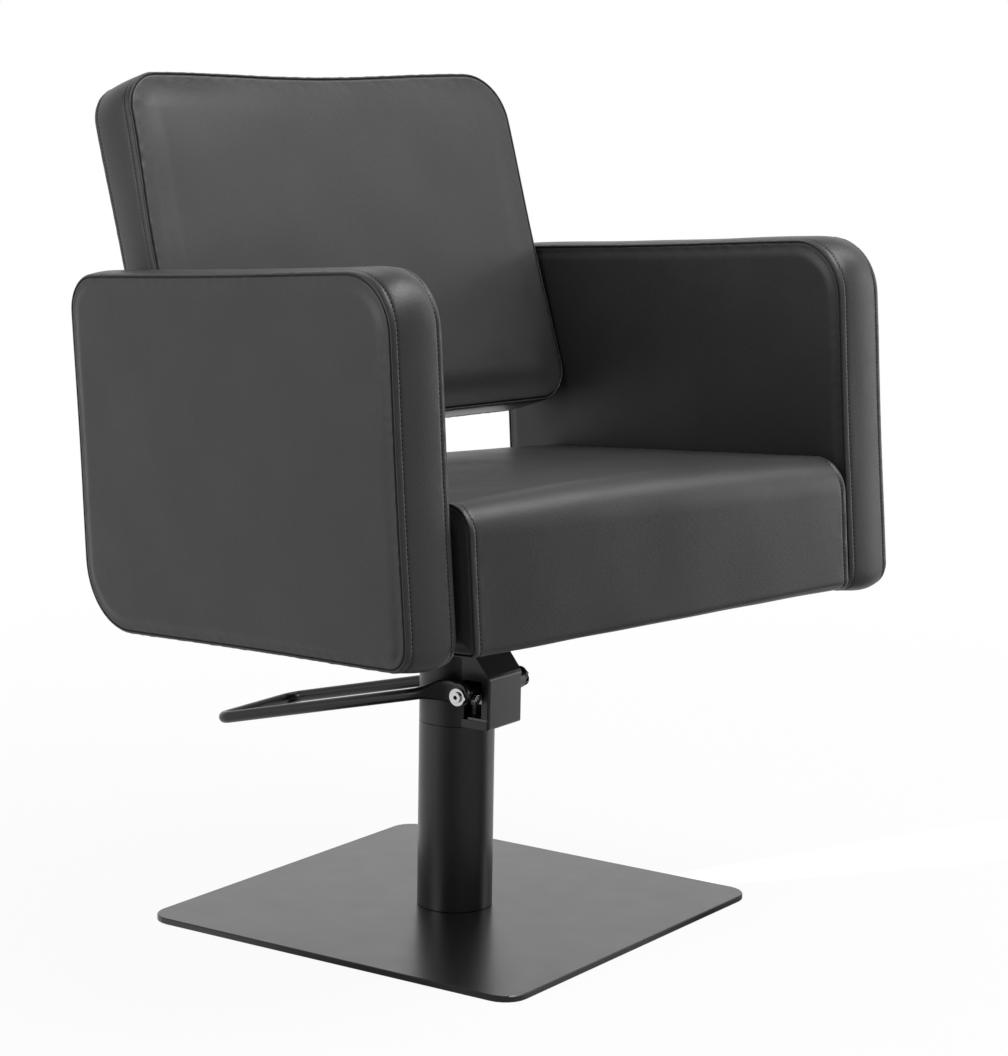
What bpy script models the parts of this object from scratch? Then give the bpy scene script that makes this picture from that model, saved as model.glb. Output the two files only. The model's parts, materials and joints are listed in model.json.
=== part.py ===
"""A hydraulic styling chair: boxed seat, arms and backrest on a pump column with a square floor plate.

Metres, +Z up. The origin is on the floor under the column. The seat faces -Y.
"""

from math import cos, pi, radians, sin, sqrt, tan

import bmesh
import bpy
from mathutils import Matrix, Vector

# Gap between pieces that touch
FIT = 0.0003
# Running gap of a shaft or a piston in its bore
RUNNING_GAP = 0.0002

# How the chair stands: the base is turned under the seat, and the seat leans back
BASE_TURN = radians(11.8)
SEAT_TILT = radians(5.0)

# Floor plate
PLATE_SIDE = 0.450
PLATE_THICKNESS = 0.0065
PLATE_CORNER = 0.025
PLATE_EDGE = 0.0008

# Column and pump
COLUMN_RADIUS = 0.039
COLUMN_WALL = 0.003
COLUMN_LENGTH = 0.1954
SLEEVE_LENGTH = 0.0855
FOOT_HEIGHT = 0.012
FOOT_SCREW_CIRCLE = 0.026
FOOT_SCREW_RADIUS = 0.004
FOOT_SCREW_HEAD_RADIUS = 0.0075
FOOT_SCREW_GRIP = 0.009
CYLINDER_WALL = 0.004
ROD_RADIUS = 0.014
PISTON_RIM = 0.003
PISTON_LENGTH = 0.020
PISTON_FLOOR_GAP = 0.004
BUSH_WALL = 0.0025
CAP_FLANGE = 0.006
CAP_SPIGOT = 0.012

# Lever shaft, in front of the oil cylinder
SHAFT_RISE = 0.0378
SHAFT_FORWARD = 0.038
SHAFT_RADIUS = 0.0065
SHAFT_BUSH_WALL = 0.002
SPACER_WALL = 0.0032
EAR_THICKNESS = 0.005
EAR_GAP = 0.0075
EAR_RIM = 0.0045
ROCKER_WIDTH = 0.010
ROCKER_WALL = 0.0017
ROCKER_REACH = 0.0145
ROCKER_DROP = 0.0058

# Plunger and its spring
PLUNGER_OFFSET = 0.010
PLUNGER_RADIUS = 0.0035
PLUNGER_LENGTH = 0.049
PLUNGER_TRAVEL = 0.0046
COLLAR_RIM = 0.002
COLLAR_DROP = 0.0029
COLLAR_THICKNESS = 0.002
BLOCK_HALF_WIDTH = 0.008
BLOCK_DROP = 0.0285
BLOCK_HEIGHT = 0.046
SPRING_WIRE_RADIUS = 0.0005
SPRING_GAP = 0.0005
SPRING_TURNS = 5

# Lever cover, a folded sheet box round the shaft
COVER_SIDE_SET = 0.0095
COVER_SHEET = 0.002
COVER_FORWARD = 0.022
COVER_DROP = 0.037
COVER_FRONT_RISE = 0.016
COVER_RISE = 0.044
COVER_SLOPE = radians(50.5)
WINDOW_MARGIN = 0.0025
WINDOW_SILL = 0.0085
SLEEVE_WINDOW_SILL = 0.005
SLEEVE_WINDOW_RISE = 0.032

# Pedal, one bent bar; its shaft reaches further out on the right
PEDAL_BAR_RADIUS = 0.0062
PEDAL_COLUMN_GAP = 0.0178
PEDAL_LENGTH = 0.303
PEDAL_SLOPE = radians(13.9)
PEDAL_RISE = 0.0099
PEDAL_CORNER = 0.017
PEDAL_BEND = 0.055
EYE_RADIUS = 0.011
EYE_THICKNESS = 0.0062
EYE_STANDOFF = {"left": 0.0175, "right": 0.0255}
WASHER_RADIUS = 0.009
WASHER_THICKNESS = 0.0017
SHAFT_SCREW_RADIUS = 0.003
SHAFT_SCREW_HEAD_RADIUS = 0.0058
SHAFT_SCREW_HEAD = 0.0022
SHAFT_SCREW_DEPTH = 0.014
SOCKET_RADIUS = 0.0023
SOCKET_DEPTH = 0.0014
CLAMP_HEAD_RADIUS = 0.0066
CLAMP_HEAD = 0.0045
CLAMP_SHANK_RADIUS = 0.0025
CLAMP_ANGLE = radians(16.0)

# Ram flange and the wedge bracket under the seat
FLANGE_RADIUS = 0.045
FLANGE_THICKNESS = 0.007
FLANGE_BOLT_SPREAD = 0.026
BRACKET_HALF_WIDTH = 0.060
BRACKET_HALF_LENGTH = 0.065
BRACKET_HEIGHT = 0.02535
BRACKET_SHEET = 0.004
BOARD_BOLT_SPREAD = 0.046
BOLT_RADIUS = 0.004
BOLT_HEAD_RADIUS = 0.0065
BOLT_HEAD = 0.005
BOARD_BOLT_GRIP = 0.016
FLANGE_BOLT_GRIP = 0.006

# Seat, in a leaning frame whose origin is on top of the bracket; cushion sizes are given to the seams
SEAT_HALF_WIDTH = 0.258
SEAT_FRONT = -0.299
SEAT_REAR = 0.1385
SEAT_THICKNESS = 0.1294
SEAT_FRONT_RADIUS = 0.036
SEAT_REAR_RADIUS = 0.024
SEAT_BOTTOM_RADIUS = 0.008
SEAT_CROWN = 0.010
SEAT_FRONT_CROWN = 0.005
SEAT_GUSSET_CROWN = 0.003
BOARD_INSET = 0.038
BOARD_THICKNESS = 0.022
RAIL_THICKNESS = 0.022
RAIL_HEIGHT = 0.070

# Arms, which draw together towards the back
ARM_GAP = 0.0144
ARM_THICKNESS = 0.0586
ARM_FRONT = -0.2892
ARM_LENGTH = 0.479
ARM_TOP = 0.3475
ARM_BOTTOM_FRONT = -0.0055
ARM_BOTTOM_REAR = 0.0015
ARM_TOE = radians(1.03)
ARM_FRONT_TOP_RADIUS = 0.055
ARM_FRONT_BOTTOM_RADIUS = 0.022
ARM_REAR_TOP_RADIUS = 0.034
ARM_REAR_BOTTOM_RADIUS = 0.067
ARM_OUTER_CROWN = 0.0045
ARM_INNER_CROWN = 0.001
ARM_BORDER_CROWN = 0.003
ARM_CORNER_CROWN = 0.004
ARM_PULL = 0.0010

# Backrest, in a frame that leans back from the seat's
BACK_RECLINE = radians(13.2)
BACK_FORWARD = 0.0999
BACK_RISE = 0.0936
BACK_TOP = 0.3244
BACK_BOTTOM = -0.0377
BACK_GAP = 0.0009
BACK_TAPER = radians(0.9)
BACK_THICKNESS = 0.064
BACK_TOP_RADIUS = 0.047
BACK_BOTTOM_RADIUS = 0.037
BACK_CROWN = 0.010
BACK_REAR_CROWN = 0.005
BACK_BORDER_CROWN = 0.001
BACK_SIDE_PULL = 0.0020
BACK_TOP_PULL = 0.0045

# Upholstery edges and the studs that carry arms and backrest
EDGE_RADIUS = 0.006
CROWN_POWER = 2.4
STUD_RADIUS = 0.005
STUD_SHOULDER_RADIUS = 0.011
STUD_PRESS = 0.003
STUD_RAIL_DEPTH = 0.016
STUD_ARM_DEPTH = 0.034
STUD_BACK_DEPTH = 0.045
ARM_STUD_INSET = 0.070
BACK_STUD_PLACES = {"lower": -0.002, "upper": 0.072}

# Facets
TUBE_STEPS = 48
ROUND_STEPS = 24
BOLT_STEPS = 12
HEX_STEPS = 6
CORNER_STEPS = 6
SIDE_STEPS = 3
SMOOTH_ANGLE = radians(45)
FACE_SHARES = (0.3, 0.6, 0.82, 1.0)
GUSSET_SHARES = (0.4, 0.75, 1.0)
BORDER_STEPS = 2
SEAT_BORDER_STEPS = 10

# Heights and places that follow from the sizes above
CYLINDER_BORE = ROD_RADIUS + PISTON_RIM + RUNNING_GAP
CYLINDER_RADIUS = CYLINDER_BORE + CYLINDER_WALL
COLUMN_BORE = COLUMN_RADIUS - COLUMN_WALL
FOOT_BOTTOM = PLATE_THICKNESS + FIT
FOOT_TOP = FOOT_BOTTOM + FOOT_HEIGHT
SEAM_HEIGHT = FOOT_BOTTOM + COLUMN_LENGTH
SLEEVE_TOP = SEAM_HEIGHT + FIT + SLEEVE_LENGTH
CAP_BOTTOM = SLEEVE_TOP - CAP_SPIGOT
CAP_TOP = SLEEVE_TOP + FIT + CAP_FLANGE
PISTON_BOTTOM = FOOT_TOP + PISTON_FLOOR_GAP
PISTON_TOP = PISTON_BOTTOM + PISTON_LENGTH
FLANGE_BOTTOM = CAP_TOP + FIT
FLANGE_TOP = FLANGE_BOTTOM + FLANGE_THICKNESS
BRACKET_BOTTOM = FLANGE_TOP + FIT
BRACKET_TOP = BRACKET_BOTTOM + BRACKET_HEIGHT
SHAFT_HEIGHT = SEAM_HEIGHT + SHAFT_RISE
SPACER_RADIUS = SHAFT_RADIUS + FIT + SPACER_WALL
EAR_INNER = ROCKER_WIDTH / 2 + EAR_GAP
PLUNGER_TOP = SHAFT_HEIGHT - ROCKER_DROP - FIT
PLUNGER_PLACE = Vector((0.0, PLUNGER_OFFSET - SHAFT_FORWARD, 0.0))
BLOCK_TOP = SHAFT_HEIGHT - BLOCK_DROP
BLOCK_FRONT = sqrt((COLUMN_BORE - FIT) ** 2 - BLOCK_HALF_WIDTH ** 2)
COVER_HALF_WIDTH = COLUMN_RADIUS - COVER_SIDE_SET
COVER_FRONT = SHAFT_FORWARD + COVER_FORWARD
COVER_BOTTOM = SHAFT_HEIGHT - COVER_DROP
COVER_TOP = SHAFT_HEIGHT + COVER_RISE
SHAFT_ENDS = {side: COVER_HALF_WIDTH + standoff for side, standoff in EYE_STANDOFF.items()}
PEDAL_HALF_WIDTH = COLUMN_RADIUS + PEDAL_COLUMN_GAP + PEDAL_BAR_RADIUS
ARM_INNER = SEAT_HALF_WIDTH + ARM_GAP
BACK_LEVEL = SEAT_THICKNESS + BACK_RISE
# How far a face and a border stand out past the seam between them
SEAM_SET = EDGE_RADIUS * (1 - sqrt(0.5))


def clear_scene():
    """Removes what the file starts with."""
    for item in list(bpy.data.objects):
        bpy.data.objects.remove(item, do_unlink=True)


def new_collection(name):
    collection = bpy.data.collections.new(name)
    bpy.context.scene.collection.children.link(collection)
    return collection


clear_scene()
PARTS = new_collection("styling_chair")
CUTTERS = new_collection("cutters")


def make_material(name, colour, roughness, metallic):
    material = bpy.data.materials.new(name)
    material.use_nodes = True
    shader = material.node_tree.nodes["Principled BSDF"]
    shader.inputs["Base Color"].default_value = (*colour, 1.0)
    shader.inputs["Roughness"].default_value = roughness
    shader.inputs["Metallic"].default_value = metallic
    return material


LEATHERETTE = make_material("black_leatherette", (0.035, 0.035, 0.036), 0.45, 0.0)
POWDER_BLACK = make_material("black_powder_coat", (0.018, 0.018, 0.018), 0.40, 0.0)
BAR_BLACK = make_material("black_bar", (0.014, 0.014, 0.014), 0.35, 0.0)
CHROME = make_material("chrome", (0.80, 0.80, 0.81), 0.12, 1.0)
STEEL = make_material("steel", (0.45, 0.45, 0.46), 0.35, 1.0)
BRONZE = make_material("bronze", (0.55, 0.38, 0.18), 0.40, 1.0)
PLYWOOD = make_material("plywood", (0.50, 0.36, 0.21), 0.70, 0.0)


def axis_empty(name, location, rotation, parent=None):
    """A frame that pieces hang on."""
    empty = bpy.data.objects.new(name, None)
    PARTS.objects.link(empty)
    empty.location = location
    empty.rotation_euler = rotation
    empty.parent = parent
    return empty


# Rotations that lay a turned piece's axis along X, to the right or to the left
ALONG_X = {1: (0, pi / 2, 0), -1: (0, -pi / 2, 0)}
SIDES = {"left": -1, "right": 1}

BASE = axis_empty("base_axis", (0, 0, 0), (0, 0, BASE_TURN))
PEDAL = axis_empty("pedal_axis", (0, -SHAFT_FORWARD, SHAFT_HEIGHT), (0, 0, 0), BASE)
SWIVEL = axis_empty("swivel_axis", (0, 0, 0), (0, 0, 0))
SEAT = axis_empty("seat_axis", (0, 0, BRACKET_TOP), (-SEAT_TILT, 0, 0), SWIVEL)
BACK = axis_empty("back_axis", (0, BACK_FORWARD, BACK_LEVEL), (-BACK_RECLINE, 0, 0), SEAT)
ARMS = {side: axis_empty(f"arm_axis_{side}", (sign * ARM_INNER, ARM_FRONT, 0), (0, 0, sign * ARM_TOE), SEAT)
        for side, sign in SIDES.items()}


def add_object(name, mesh, parent, material=None, location=(0, 0, 0), rotation=(0, 0, 0)):
    """Links a mesh as a part, or as a cutter if it has no material."""
    item = bpy.data.objects.new(name, mesh)
    item.parent = parent
    item.location = location
    item.rotation_euler = rotation
    if material is None:
        CUTTERS.objects.link(item)
        item.hide_render = True
        item.display_type = "WIRE"
    else:
        PARTS.objects.link(item)
        mesh.materials.append(material)
    return item


def mesh_from(name, shape, smooth=False):
    mesh = bpy.data.meshes.new(name)
    bmesh.ops.recalc_face_normals(shape, faces=shape.faces)
    shape.to_mesh(mesh)
    shape.free()
    if smooth:
        mesh.shade_smooth()
        mesh.set_sharp_from_angle(angle=SMOOTH_ANGLE)
    return mesh


def box(name, corner, opposite, parent, material=None, edge_axis=None, edge_radius=0.0):
    """A box between two opposite corners, with the edges along one axis rounded if asked."""
    corner = Vector(corner)
    opposite = Vector(opposite)
    size = [abs(length) for length in opposite - corner]
    place = Matrix.Translation((corner + opposite) / 2) @ Matrix.Diagonal((*size, 1.0))
    shape = bmesh.new()
    bmesh.ops.create_cube(shape, size=1.0, matrix=place)
    if edge_axis is not None:
        along = [e for e in shape.edges if abs((e.verts[0].co - e.verts[1].co)[edge_axis]) > FIT]
        bmesh.ops.bevel(shape, geom=along, offset=edge_radius, segments=CORNER_STEPS, profile=0.5,
                        affect="EDGES")
    return add_object(name, mesh_from(name, shape), parent, material)


def turned(name, profile, parent, material=None, steps=ROUND_STEPS, location=(0, 0, 0),
           rotation=(0, 0, 0), ring=False):
    """A turned piece from (radius, height) points that run down its outer side."""
    mesh = bpy.data.meshes.new(name)
    points = [(radius, 0.0, height) for radius, height in profile]
    edges = [(i, i + 1) for i in range(len(points) - 1)]
    if ring:
        edges.append((len(points) - 1, 0))
    mesh.from_pydata(points, edges, [])
    item = add_object(name, mesh, parent, material, location, rotation)
    screw = item.modifiers.new("turn", "SCREW")
    screw.axis = "Z"
    screw.steps = steps
    screw.render_steps = steps
    screw.use_merge_vertices = True
    screw.merge_threshold = 0.00001
    screw.use_smooth_shade = True
    return item


def tube_profile(outer, inner, bottom, top):
    return [(outer, top), (outer, bottom), (inner, bottom), (inner, top)]


def rod_profile(radius, bottom, top):
    return [(0.0, top), (radius, top), (radius, bottom), (0.0, bottom)]


def bolt_profile(radius, head_radius, head, length):
    """A cap screw with its head above zero height and its shank below."""
    return [(0.0, head), (head_radius, head), (head_radius, 0.0), (radius, 0.0), (radius, -length),
            (0.0, -length)]


def combine(item, other, operation):
    boolean = item.modifiers.new(other.name, "BOOLEAN")
    boolean.operation = operation
    boolean.solver = "EXACT"
    boolean.object = other


def cut(item, cutter):
    combine(item, cutter, "DIFFERENCE")


def join(item, other):
    combine(item, other, "UNION")


def build_base():
    """Floor plate, column, and the screws that hold the pump from below."""
    half = PLATE_SIDE / 2
    plate = box("base_plate", (-half, -half, 0), (half, half, PLATE_THICKNESS), BASE, POWDER_BLACK,
                edge_axis=2, edge_radius=PLATE_CORNER)
    bevel = plate.modifiers.new("edge", "BEVEL")
    bevel.width = PLATE_EDGE
    bevel.segments = 1
    bevel.limit_method = "ANGLE"
    bevel.angle_limit = radians(60)
    foot = turned("pump_foot", rod_profile(COLUMN_BORE - FIT, FOOT_BOTTOM, FOOT_TOP), BASE, STEEL)
    cone_top = FIT + FOOT_SCREW_HEAD_RADIUS - FOOT_SCREW_RADIUS
    screw_top = FOOT_BOTTOM + FOOT_SCREW_GRIP
    screw = [(0.0, screw_top), (FOOT_SCREW_RADIUS, screw_top), (FOOT_SCREW_RADIUS, cone_top),
             (FOOT_SCREW_HEAD_RADIUS, FIT), (0.0, FIT)]
    hole = [(0.0, screw_top + FIT), (FOOT_SCREW_RADIUS + FIT, screw_top + FIT),
            (FOOT_SCREW_RADIUS + FIT, cone_top), (FOOT_SCREW_HEAD_RADIUS + FIT, FIT),
            (FOOT_SCREW_HEAD_RADIUS + FIT, -PLATE_THICKNESS), (0.0, -PLATE_THICKNESS)]
    for number in range(4):
        angle = pi / 4 + number * pi / 2
        place = (FOOT_SCREW_CIRCLE * cos(angle), FOOT_SCREW_CIRCLE * sin(angle), 0.0)
        turned(f"foot_screw_{number + 1}", screw, BASE, STEEL, BOLT_STEPS, place)
        cutter = turned(f"foot_hole_{number + 1}", hole, BASE, None, BOLT_STEPS, place)
        cut(plate, cutter)
        cut(foot, cutter)
    column = tube_profile(COLUMN_RADIUS, COLUMN_BORE, FOOT_BOTTOM, SEAM_HEIGHT)
    turned("column_tube", column, BASE, POWDER_BLACK, TUBE_STEPS, ring=True)


def build_pump():
    """Sleeve, oil cylinder, gland and the pump block."""
    sleeve_profile = tube_profile(COLUMN_RADIUS, COLUMN_BORE, SEAM_HEIGHT + FIT, SLEEVE_TOP)
    sleeve = turned("pump_sleeve", sleeve_profile, BASE, POWDER_BLACK, TUBE_STEPS, ring=True)
    window_half = COVER_HALF_WIDTH - COVER_SHEET - FIT
    window = box("sleeve_window", (-window_half, -2 * COLUMN_RADIUS, SEAM_HEIGHT + SLEEVE_WINDOW_SILL),
                 (window_half, 0.0, SHAFT_HEIGHT + SLEEVE_WINDOW_RISE), BASE)
    cut(sleeve, window)
    cylinder = tube_profile(CYLINDER_RADIUS, CYLINDER_BORE, FOOT_TOP + FIT, CAP_BOTTOM - FIT)
    turned("inner_cylinder", cylinder, BASE, STEEL, TUBE_STEPS, ring=True)
    bush_inner = ROD_RADIUS + RUNNING_GAP
    bush_outer = bush_inner + BUSH_WALL
    cap_bore = bush_outer + FIT
    cap_seat = SLEEVE_TOP + FIT
    cap = [(COLUMN_RADIUS, CAP_TOP), (COLUMN_RADIUS, cap_seat), (COLUMN_BORE - FIT, cap_seat),
           (COLUMN_BORE - FIT, CAP_BOTTOM), (cap_bore, CAP_BOTTOM), (cap_bore, CAP_TOP)]
    turned("gland_cap", cap, BASE, POWDER_BLACK, TUBE_STEPS, ring=True)
    bush = tube_profile(bush_outer, bush_inner, CAP_BOTTOM, CAP_TOP)
    turned("guide_bush", bush, BASE, BRONZE, TUBE_STEPS, ring=True)
    block = box("pump_block", (-BLOCK_HALF_WIDTH, -BLOCK_FRONT, BLOCK_TOP - BLOCK_HEIGHT),
                (BLOCK_HALF_WIDTH, 0.0, BLOCK_TOP), BASE, STEEL)
    cylinder_room = rod_profile(CYLINDER_RADIUS + FIT, 0.0, SLEEVE_TOP)
    cylinder_clearance = turned("cylinder_clearance", cylinder_room, BASE, None, TUBE_STEPS)
    cut(block, cylinder_clearance)
    bore_bottom = PLUNGER_TOP - PLUNGER_LENGTH - PLUNGER_TRAVEL - FIT
    bore_profile = rod_profile(PLUNGER_RADIUS + FIT, bore_bottom, PLUNGER_TOP)
    cut(block, turned("plunger_bore", bore_profile, BASE, None, ROUND_STEPS, PLUNGER_PLACE))
    build_ears(cylinder_clearance)


def build_ears(cylinder_clearance):
    """Two ears on the cylinder that carry the lever shaft in bronze bushes."""
    bush_inner = SHAFT_RADIUS + RUNNING_GAP
    bush_outer = bush_inner + SHAFT_BUSH_WALL
    ear_radius = bush_outer + FIT + EAR_RIM
    for side, sign in SIDES.items():
        near = sign * EAR_INNER
        far = sign * (EAR_INNER + EAR_THICKNESS)
        ear = box(f"lever_ear_{side}", (near, -SHAFT_FORWARD - ear_radius, SHAFT_HEIGHT - ear_radius),
                  (far, 0.0, SHAFT_HEIGHT + ear_radius), BASE, STEEL, edge_axis=0, edge_radius=EAR_RIM)
        cut(ear, cylinder_clearance)
        place = (near, -SHAFT_FORWARD, SHAFT_HEIGHT)
        bore_profile = rod_profile(bush_outer + FIT, -EAR_THICKNESS, 2 * EAR_THICKNESS)
        cut(ear, turned(f"ear_bore_{side}", bore_profile, BASE, None, ROUND_STEPS, place, ALONG_X[sign]))
        bush = tube_profile(bush_outer, bush_inner, 0.0, EAR_THICKNESS)
        turned(f"shaft_bush_{side}", bush, BASE, BRONZE, ROUND_STEPS, place, ALONG_X[sign], ring=True)


def cover_prism(name, inset, material=None):
    """The cover's side outline as a solid across X, shrunk by an inset on its front, slope and sides."""
    front = inset - COVER_FRONT
    bottom = COVER_BOTTOM + inset
    corner = SHAFT_HEIGHT + COVER_FRONT_RISE - inset * tan(COVER_SLOPE / 2)
    top = COVER_TOP - inset
    slope_end = front + (top - corner) / tan(COVER_SLOPE)
    half = COVER_HALF_WIDTH - inset
    outline = [(front, bottom), (front, corner), (slope_end, top), (0.0, top), (0.0, bottom)]
    shape = bmesh.new()
    face = shape.faces.new([shape.verts.new((-half, y, z)) for y, z in outline])
    swept = bmesh.ops.extrude_face_region(shape, geom=[face])
    moved = [v for v in swept["geom"] if isinstance(v, bmesh.types.BMVert)]
    bmesh.ops.translate(shape, verts=moved, vec=(2 * half, 0, 0))
    return add_object(name, mesh_from(name, shape), BASE, material)


def build_cover():
    """Sheet box that hides the lever shaft, with a window for the shaft in each side."""
    cover = cover_prism("lever_cover", 0.0, POWDER_BLACK)
    cut(cover, cover_prism("cover_hollow", COVER_SHEET))
    column_room = rod_profile(COLUMN_RADIUS + FIT, 0.0, CAP_TOP)
    cut(cover, turned("column_clearance", column_room, BASE, None, TUBE_STEPS))
    reach = SPACER_RADIUS + WINDOW_MARGIN
    window = box("cover_window", (-2 * COVER_HALF_WIDTH, -SHAFT_FORWARD - reach, COVER_BOTTOM + WINDOW_SILL),
                 (2 * COVER_HALF_WIDTH, -SHAFT_FORWARD + reach, SHAFT_HEIGHT + reach), BASE)
    cut(cover, window)


def bar_mesh(name, points, radius, resolution, factors=None):
    """A round bar along points, as a mesh with welded caps; factors thin it point by point."""
    curve = bpy.data.curves.new(name + "_path", "CURVE")
    curve.dimensions = "3D"
    curve.bevel_depth = radius
    curve.bevel_resolution = resolution
    curve.use_fill_caps = True
    spline = curve.splines.new("POLY")
    spline.points.add(len(points) - 1)
    for index, place in enumerate(points):
        spline.points[index].co = (*place, 1.0)
        if factors:
            spline.points[index].radius = factors[index]
    path = bpy.data.objects.new(name + "_path", curve)
    CUTTERS.objects.link(path)
    bpy.context.view_layer.update()
    mesh = bpy.data.meshes.new_from_object(path.evaluated_get(bpy.context.evaluated_depsgraph_get()))
    bpy.data.objects.remove(path, do_unlink=True)
    shape = bmesh.new()
    shape.from_mesh(mesh)
    bmesh.ops.remove_doubles(shape, verts=shape.verts, dist=0.00001)
    bpy.data.meshes.remove(mesh)
    return mesh_from(name, shape, smooth=True)


def pedal_side(side, sign):
    """One side of the pedal's centre line, from its eye to the end bar, with thickness factors."""
    eye = SHAFT_ENDS[side] + FIT + EYE_THICKNESS / 2
    flat_end = EYE_RADIUS / 2
    bend_steps = 8
    flat_factor = (EYE_THICKNESS / 2 - FIT) / PEDAL_BAR_RADIUS
    points = []
    factors = []
    for step in range(bend_steps + 1):
        share = step / bend_steps
        back = flat_end + (PEDAL_BEND - flat_end) * share
        ease = share * share * (3 - 2 * share)
        level = PEDAL_RISE - back * tan(PEDAL_SLOPE)
        dip = (PEDAL_RISE / 2) * (1 - share) ** 6
        points.append(Vector((sign * (eye + (PEDAL_HALF_WIDTH - eye) * ease), back, level - dip)))
        swelling = min(1.0, max(0.0, (back - EYE_RADIUS) / (2 * EYE_RADIUS)))
        factors.append(flat_factor + (1 - flat_factor) * swelling)
    for step in range(CORNER_STEPS + 1):
        angle = (pi / 2) * step / CORNER_STEPS
        across = PEDAL_HALF_WIDTH - PEDAL_CORNER * (1 - cos(angle))
        back = PEDAL_LENGTH - PEDAL_CORNER * (1 - sin(angle))
        points.append(Vector((sign * across, back, PEDAL_RISE - back * tan(PEDAL_SLOPE))))
        factors.append(1.0)
    return points, factors


def build_pedal():
    """The pedal bar with its eyes, the shaft, the rocker and their fasteners."""
    left, left_factors = pedal_side("left", -1)
    right, right_factors = pedal_side("right", 1)
    mesh = bar_mesh("pedal_bar", left + right[::-1], PEDAL_BAR_RADIUS, 3, left_factors + right_factors[::-1])
    pedal = add_object("pedal_bar", mesh, PEDAL, BAR_BLACK)
    shaft_profile = rod_profile(SHAFT_RADIUS, -SHAFT_ENDS["left"], SHAFT_ENDS["right"])
    shaft = turned("lever_shaft", shaft_profile, PEDAL, STEEL, ROUND_STEPS, rotation=ALONG_X[1])
    for side, sign in SIDES.items():
        build_shaft_end(side, sign, pedal, shaft)
    build_rocker()


def build_shaft_end(side, sign, pedal, shaft):
    """Spacer tube, eye, washer and screw at one end of the shaft."""
    lie = ALONG_X[sign]
    eye_near = SHAFT_ENDS[side] + FIT
    eye_far = eye_near + EYE_THICKNESS
    washer_near = eye_far + FIT
    washer_far = washer_near + WASHER_THICKNESS
    screw_seat = washer_far + FIT
    screw_place = (sign * screw_seat, 0, 0)
    eye = rod_profile(EYE_RADIUS, eye_near, eye_far)
    join(pedal, turned(f"eye_{side}", eye, PEDAL, rotation=lie))
    hole_profile = rod_profile(SHAFT_SCREW_RADIUS + FIT, screw_seat - SHAFT_SCREW_DEPTH - FIT, 2 * screw_seat)
    hole = turned(f"screw_hole_{side}", hole_profile, PEDAL, None, BOLT_STEPS, rotation=lie)
    cut(pedal, hole)
    cut(shaft, hole)
    spacer_start = EAR_INNER + EAR_THICKNESS + FIT
    spacer_profile = tube_profile(SPACER_RADIUS, SHAFT_RADIUS + FIT, spacer_start, SHAFT_ENDS[side])
    spacer = turned(f"spacer_tube_{side}", spacer_profile, PEDAL, BAR_BLACK, rotation=lie, ring=True)
    if side == "left":
        build_clamp_screw(spacer)
    washer = tube_profile(WASHER_RADIUS, SHAFT_SCREW_RADIUS + FIT, washer_near, washer_far)
    turned(f"shaft_washer_{side}", washer, PEDAL, CHROME, rotation=lie, ring=True)
    screw_profile = bolt_profile(SHAFT_SCREW_RADIUS, SHAFT_SCREW_HEAD_RADIUS, SHAFT_SCREW_HEAD,
                                 SHAFT_SCREW_DEPTH)
    screw = turned(f"shaft_screw_{side}", screw_profile, PEDAL, CHROME, BOLT_STEPS, screw_place, lie)
    socket = rod_profile(SOCKET_RADIUS, SHAFT_SCREW_HEAD - SOCKET_DEPTH, 2 * SHAFT_SCREW_HEAD)
    cut(screw, turned(f"socket_{side}", socket, PEDAL, None, HEX_STEPS, screw_place, lie))


def build_clamp_screw(spacer):
    """Hex screw that pins the left spacer tube to the shaft, pointing forward and down."""
    place = (-(COVER_HALF_WIDTH + SHAFT_ENDS["left"]) / 2, 0, 0)
    facing = (pi / 2 + CLAMP_ANGLE, 0, 0)
    head_bottom = SPACER_RADIUS + FIT
    head_top = head_bottom + CLAMP_HEAD
    shank_end = SHAFT_RADIUS + FIT
    screw = turned("clamp_screw", rod_profile(CLAMP_SHANK_RADIUS, shank_end, head_top + FIT), PEDAL, CHROME,
                   BOLT_STEPS, place, facing)
    head = rod_profile(CLAMP_HEAD_RADIUS, head_bottom, head_top)
    join(screw, turned("clamp_head", head, PEDAL, None, HEX_STEPS, place, facing))
    hole = rod_profile(CLAMP_SHANK_RADIUS + FIT, shank_end - FIT, 2 * SPACER_RADIUS)
    cut(spacer, turned("clamp_hole", hole, PEDAL, None, BOLT_STEPS, place, facing))


def build_rocker():
    """Hub on the middle of the shaft with a flat lobe that presses the plunger."""
    bore_radius = SHAFT_RADIUS + FIT
    half = ROCKER_WIDTH / 2
    hub = rod_profile(bore_radius + ROCKER_WALL, -half, half)
    rocker = turned("rocker", hub, PEDAL, STEEL, rotation=ALONG_X[1])
    join(rocker, box("rocker_lobe", (-half, 0.0, -ROCKER_DROP), (half, ROCKER_REACH, ROCKER_DROP), PEDAL))
    bore = rod_profile(bore_radius, -ROCKER_WIDTH, ROCKER_WIDTH)
    cut(rocker, turned("rocker_bore", bore, PEDAL, rotation=ALONG_X[1]))


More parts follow.
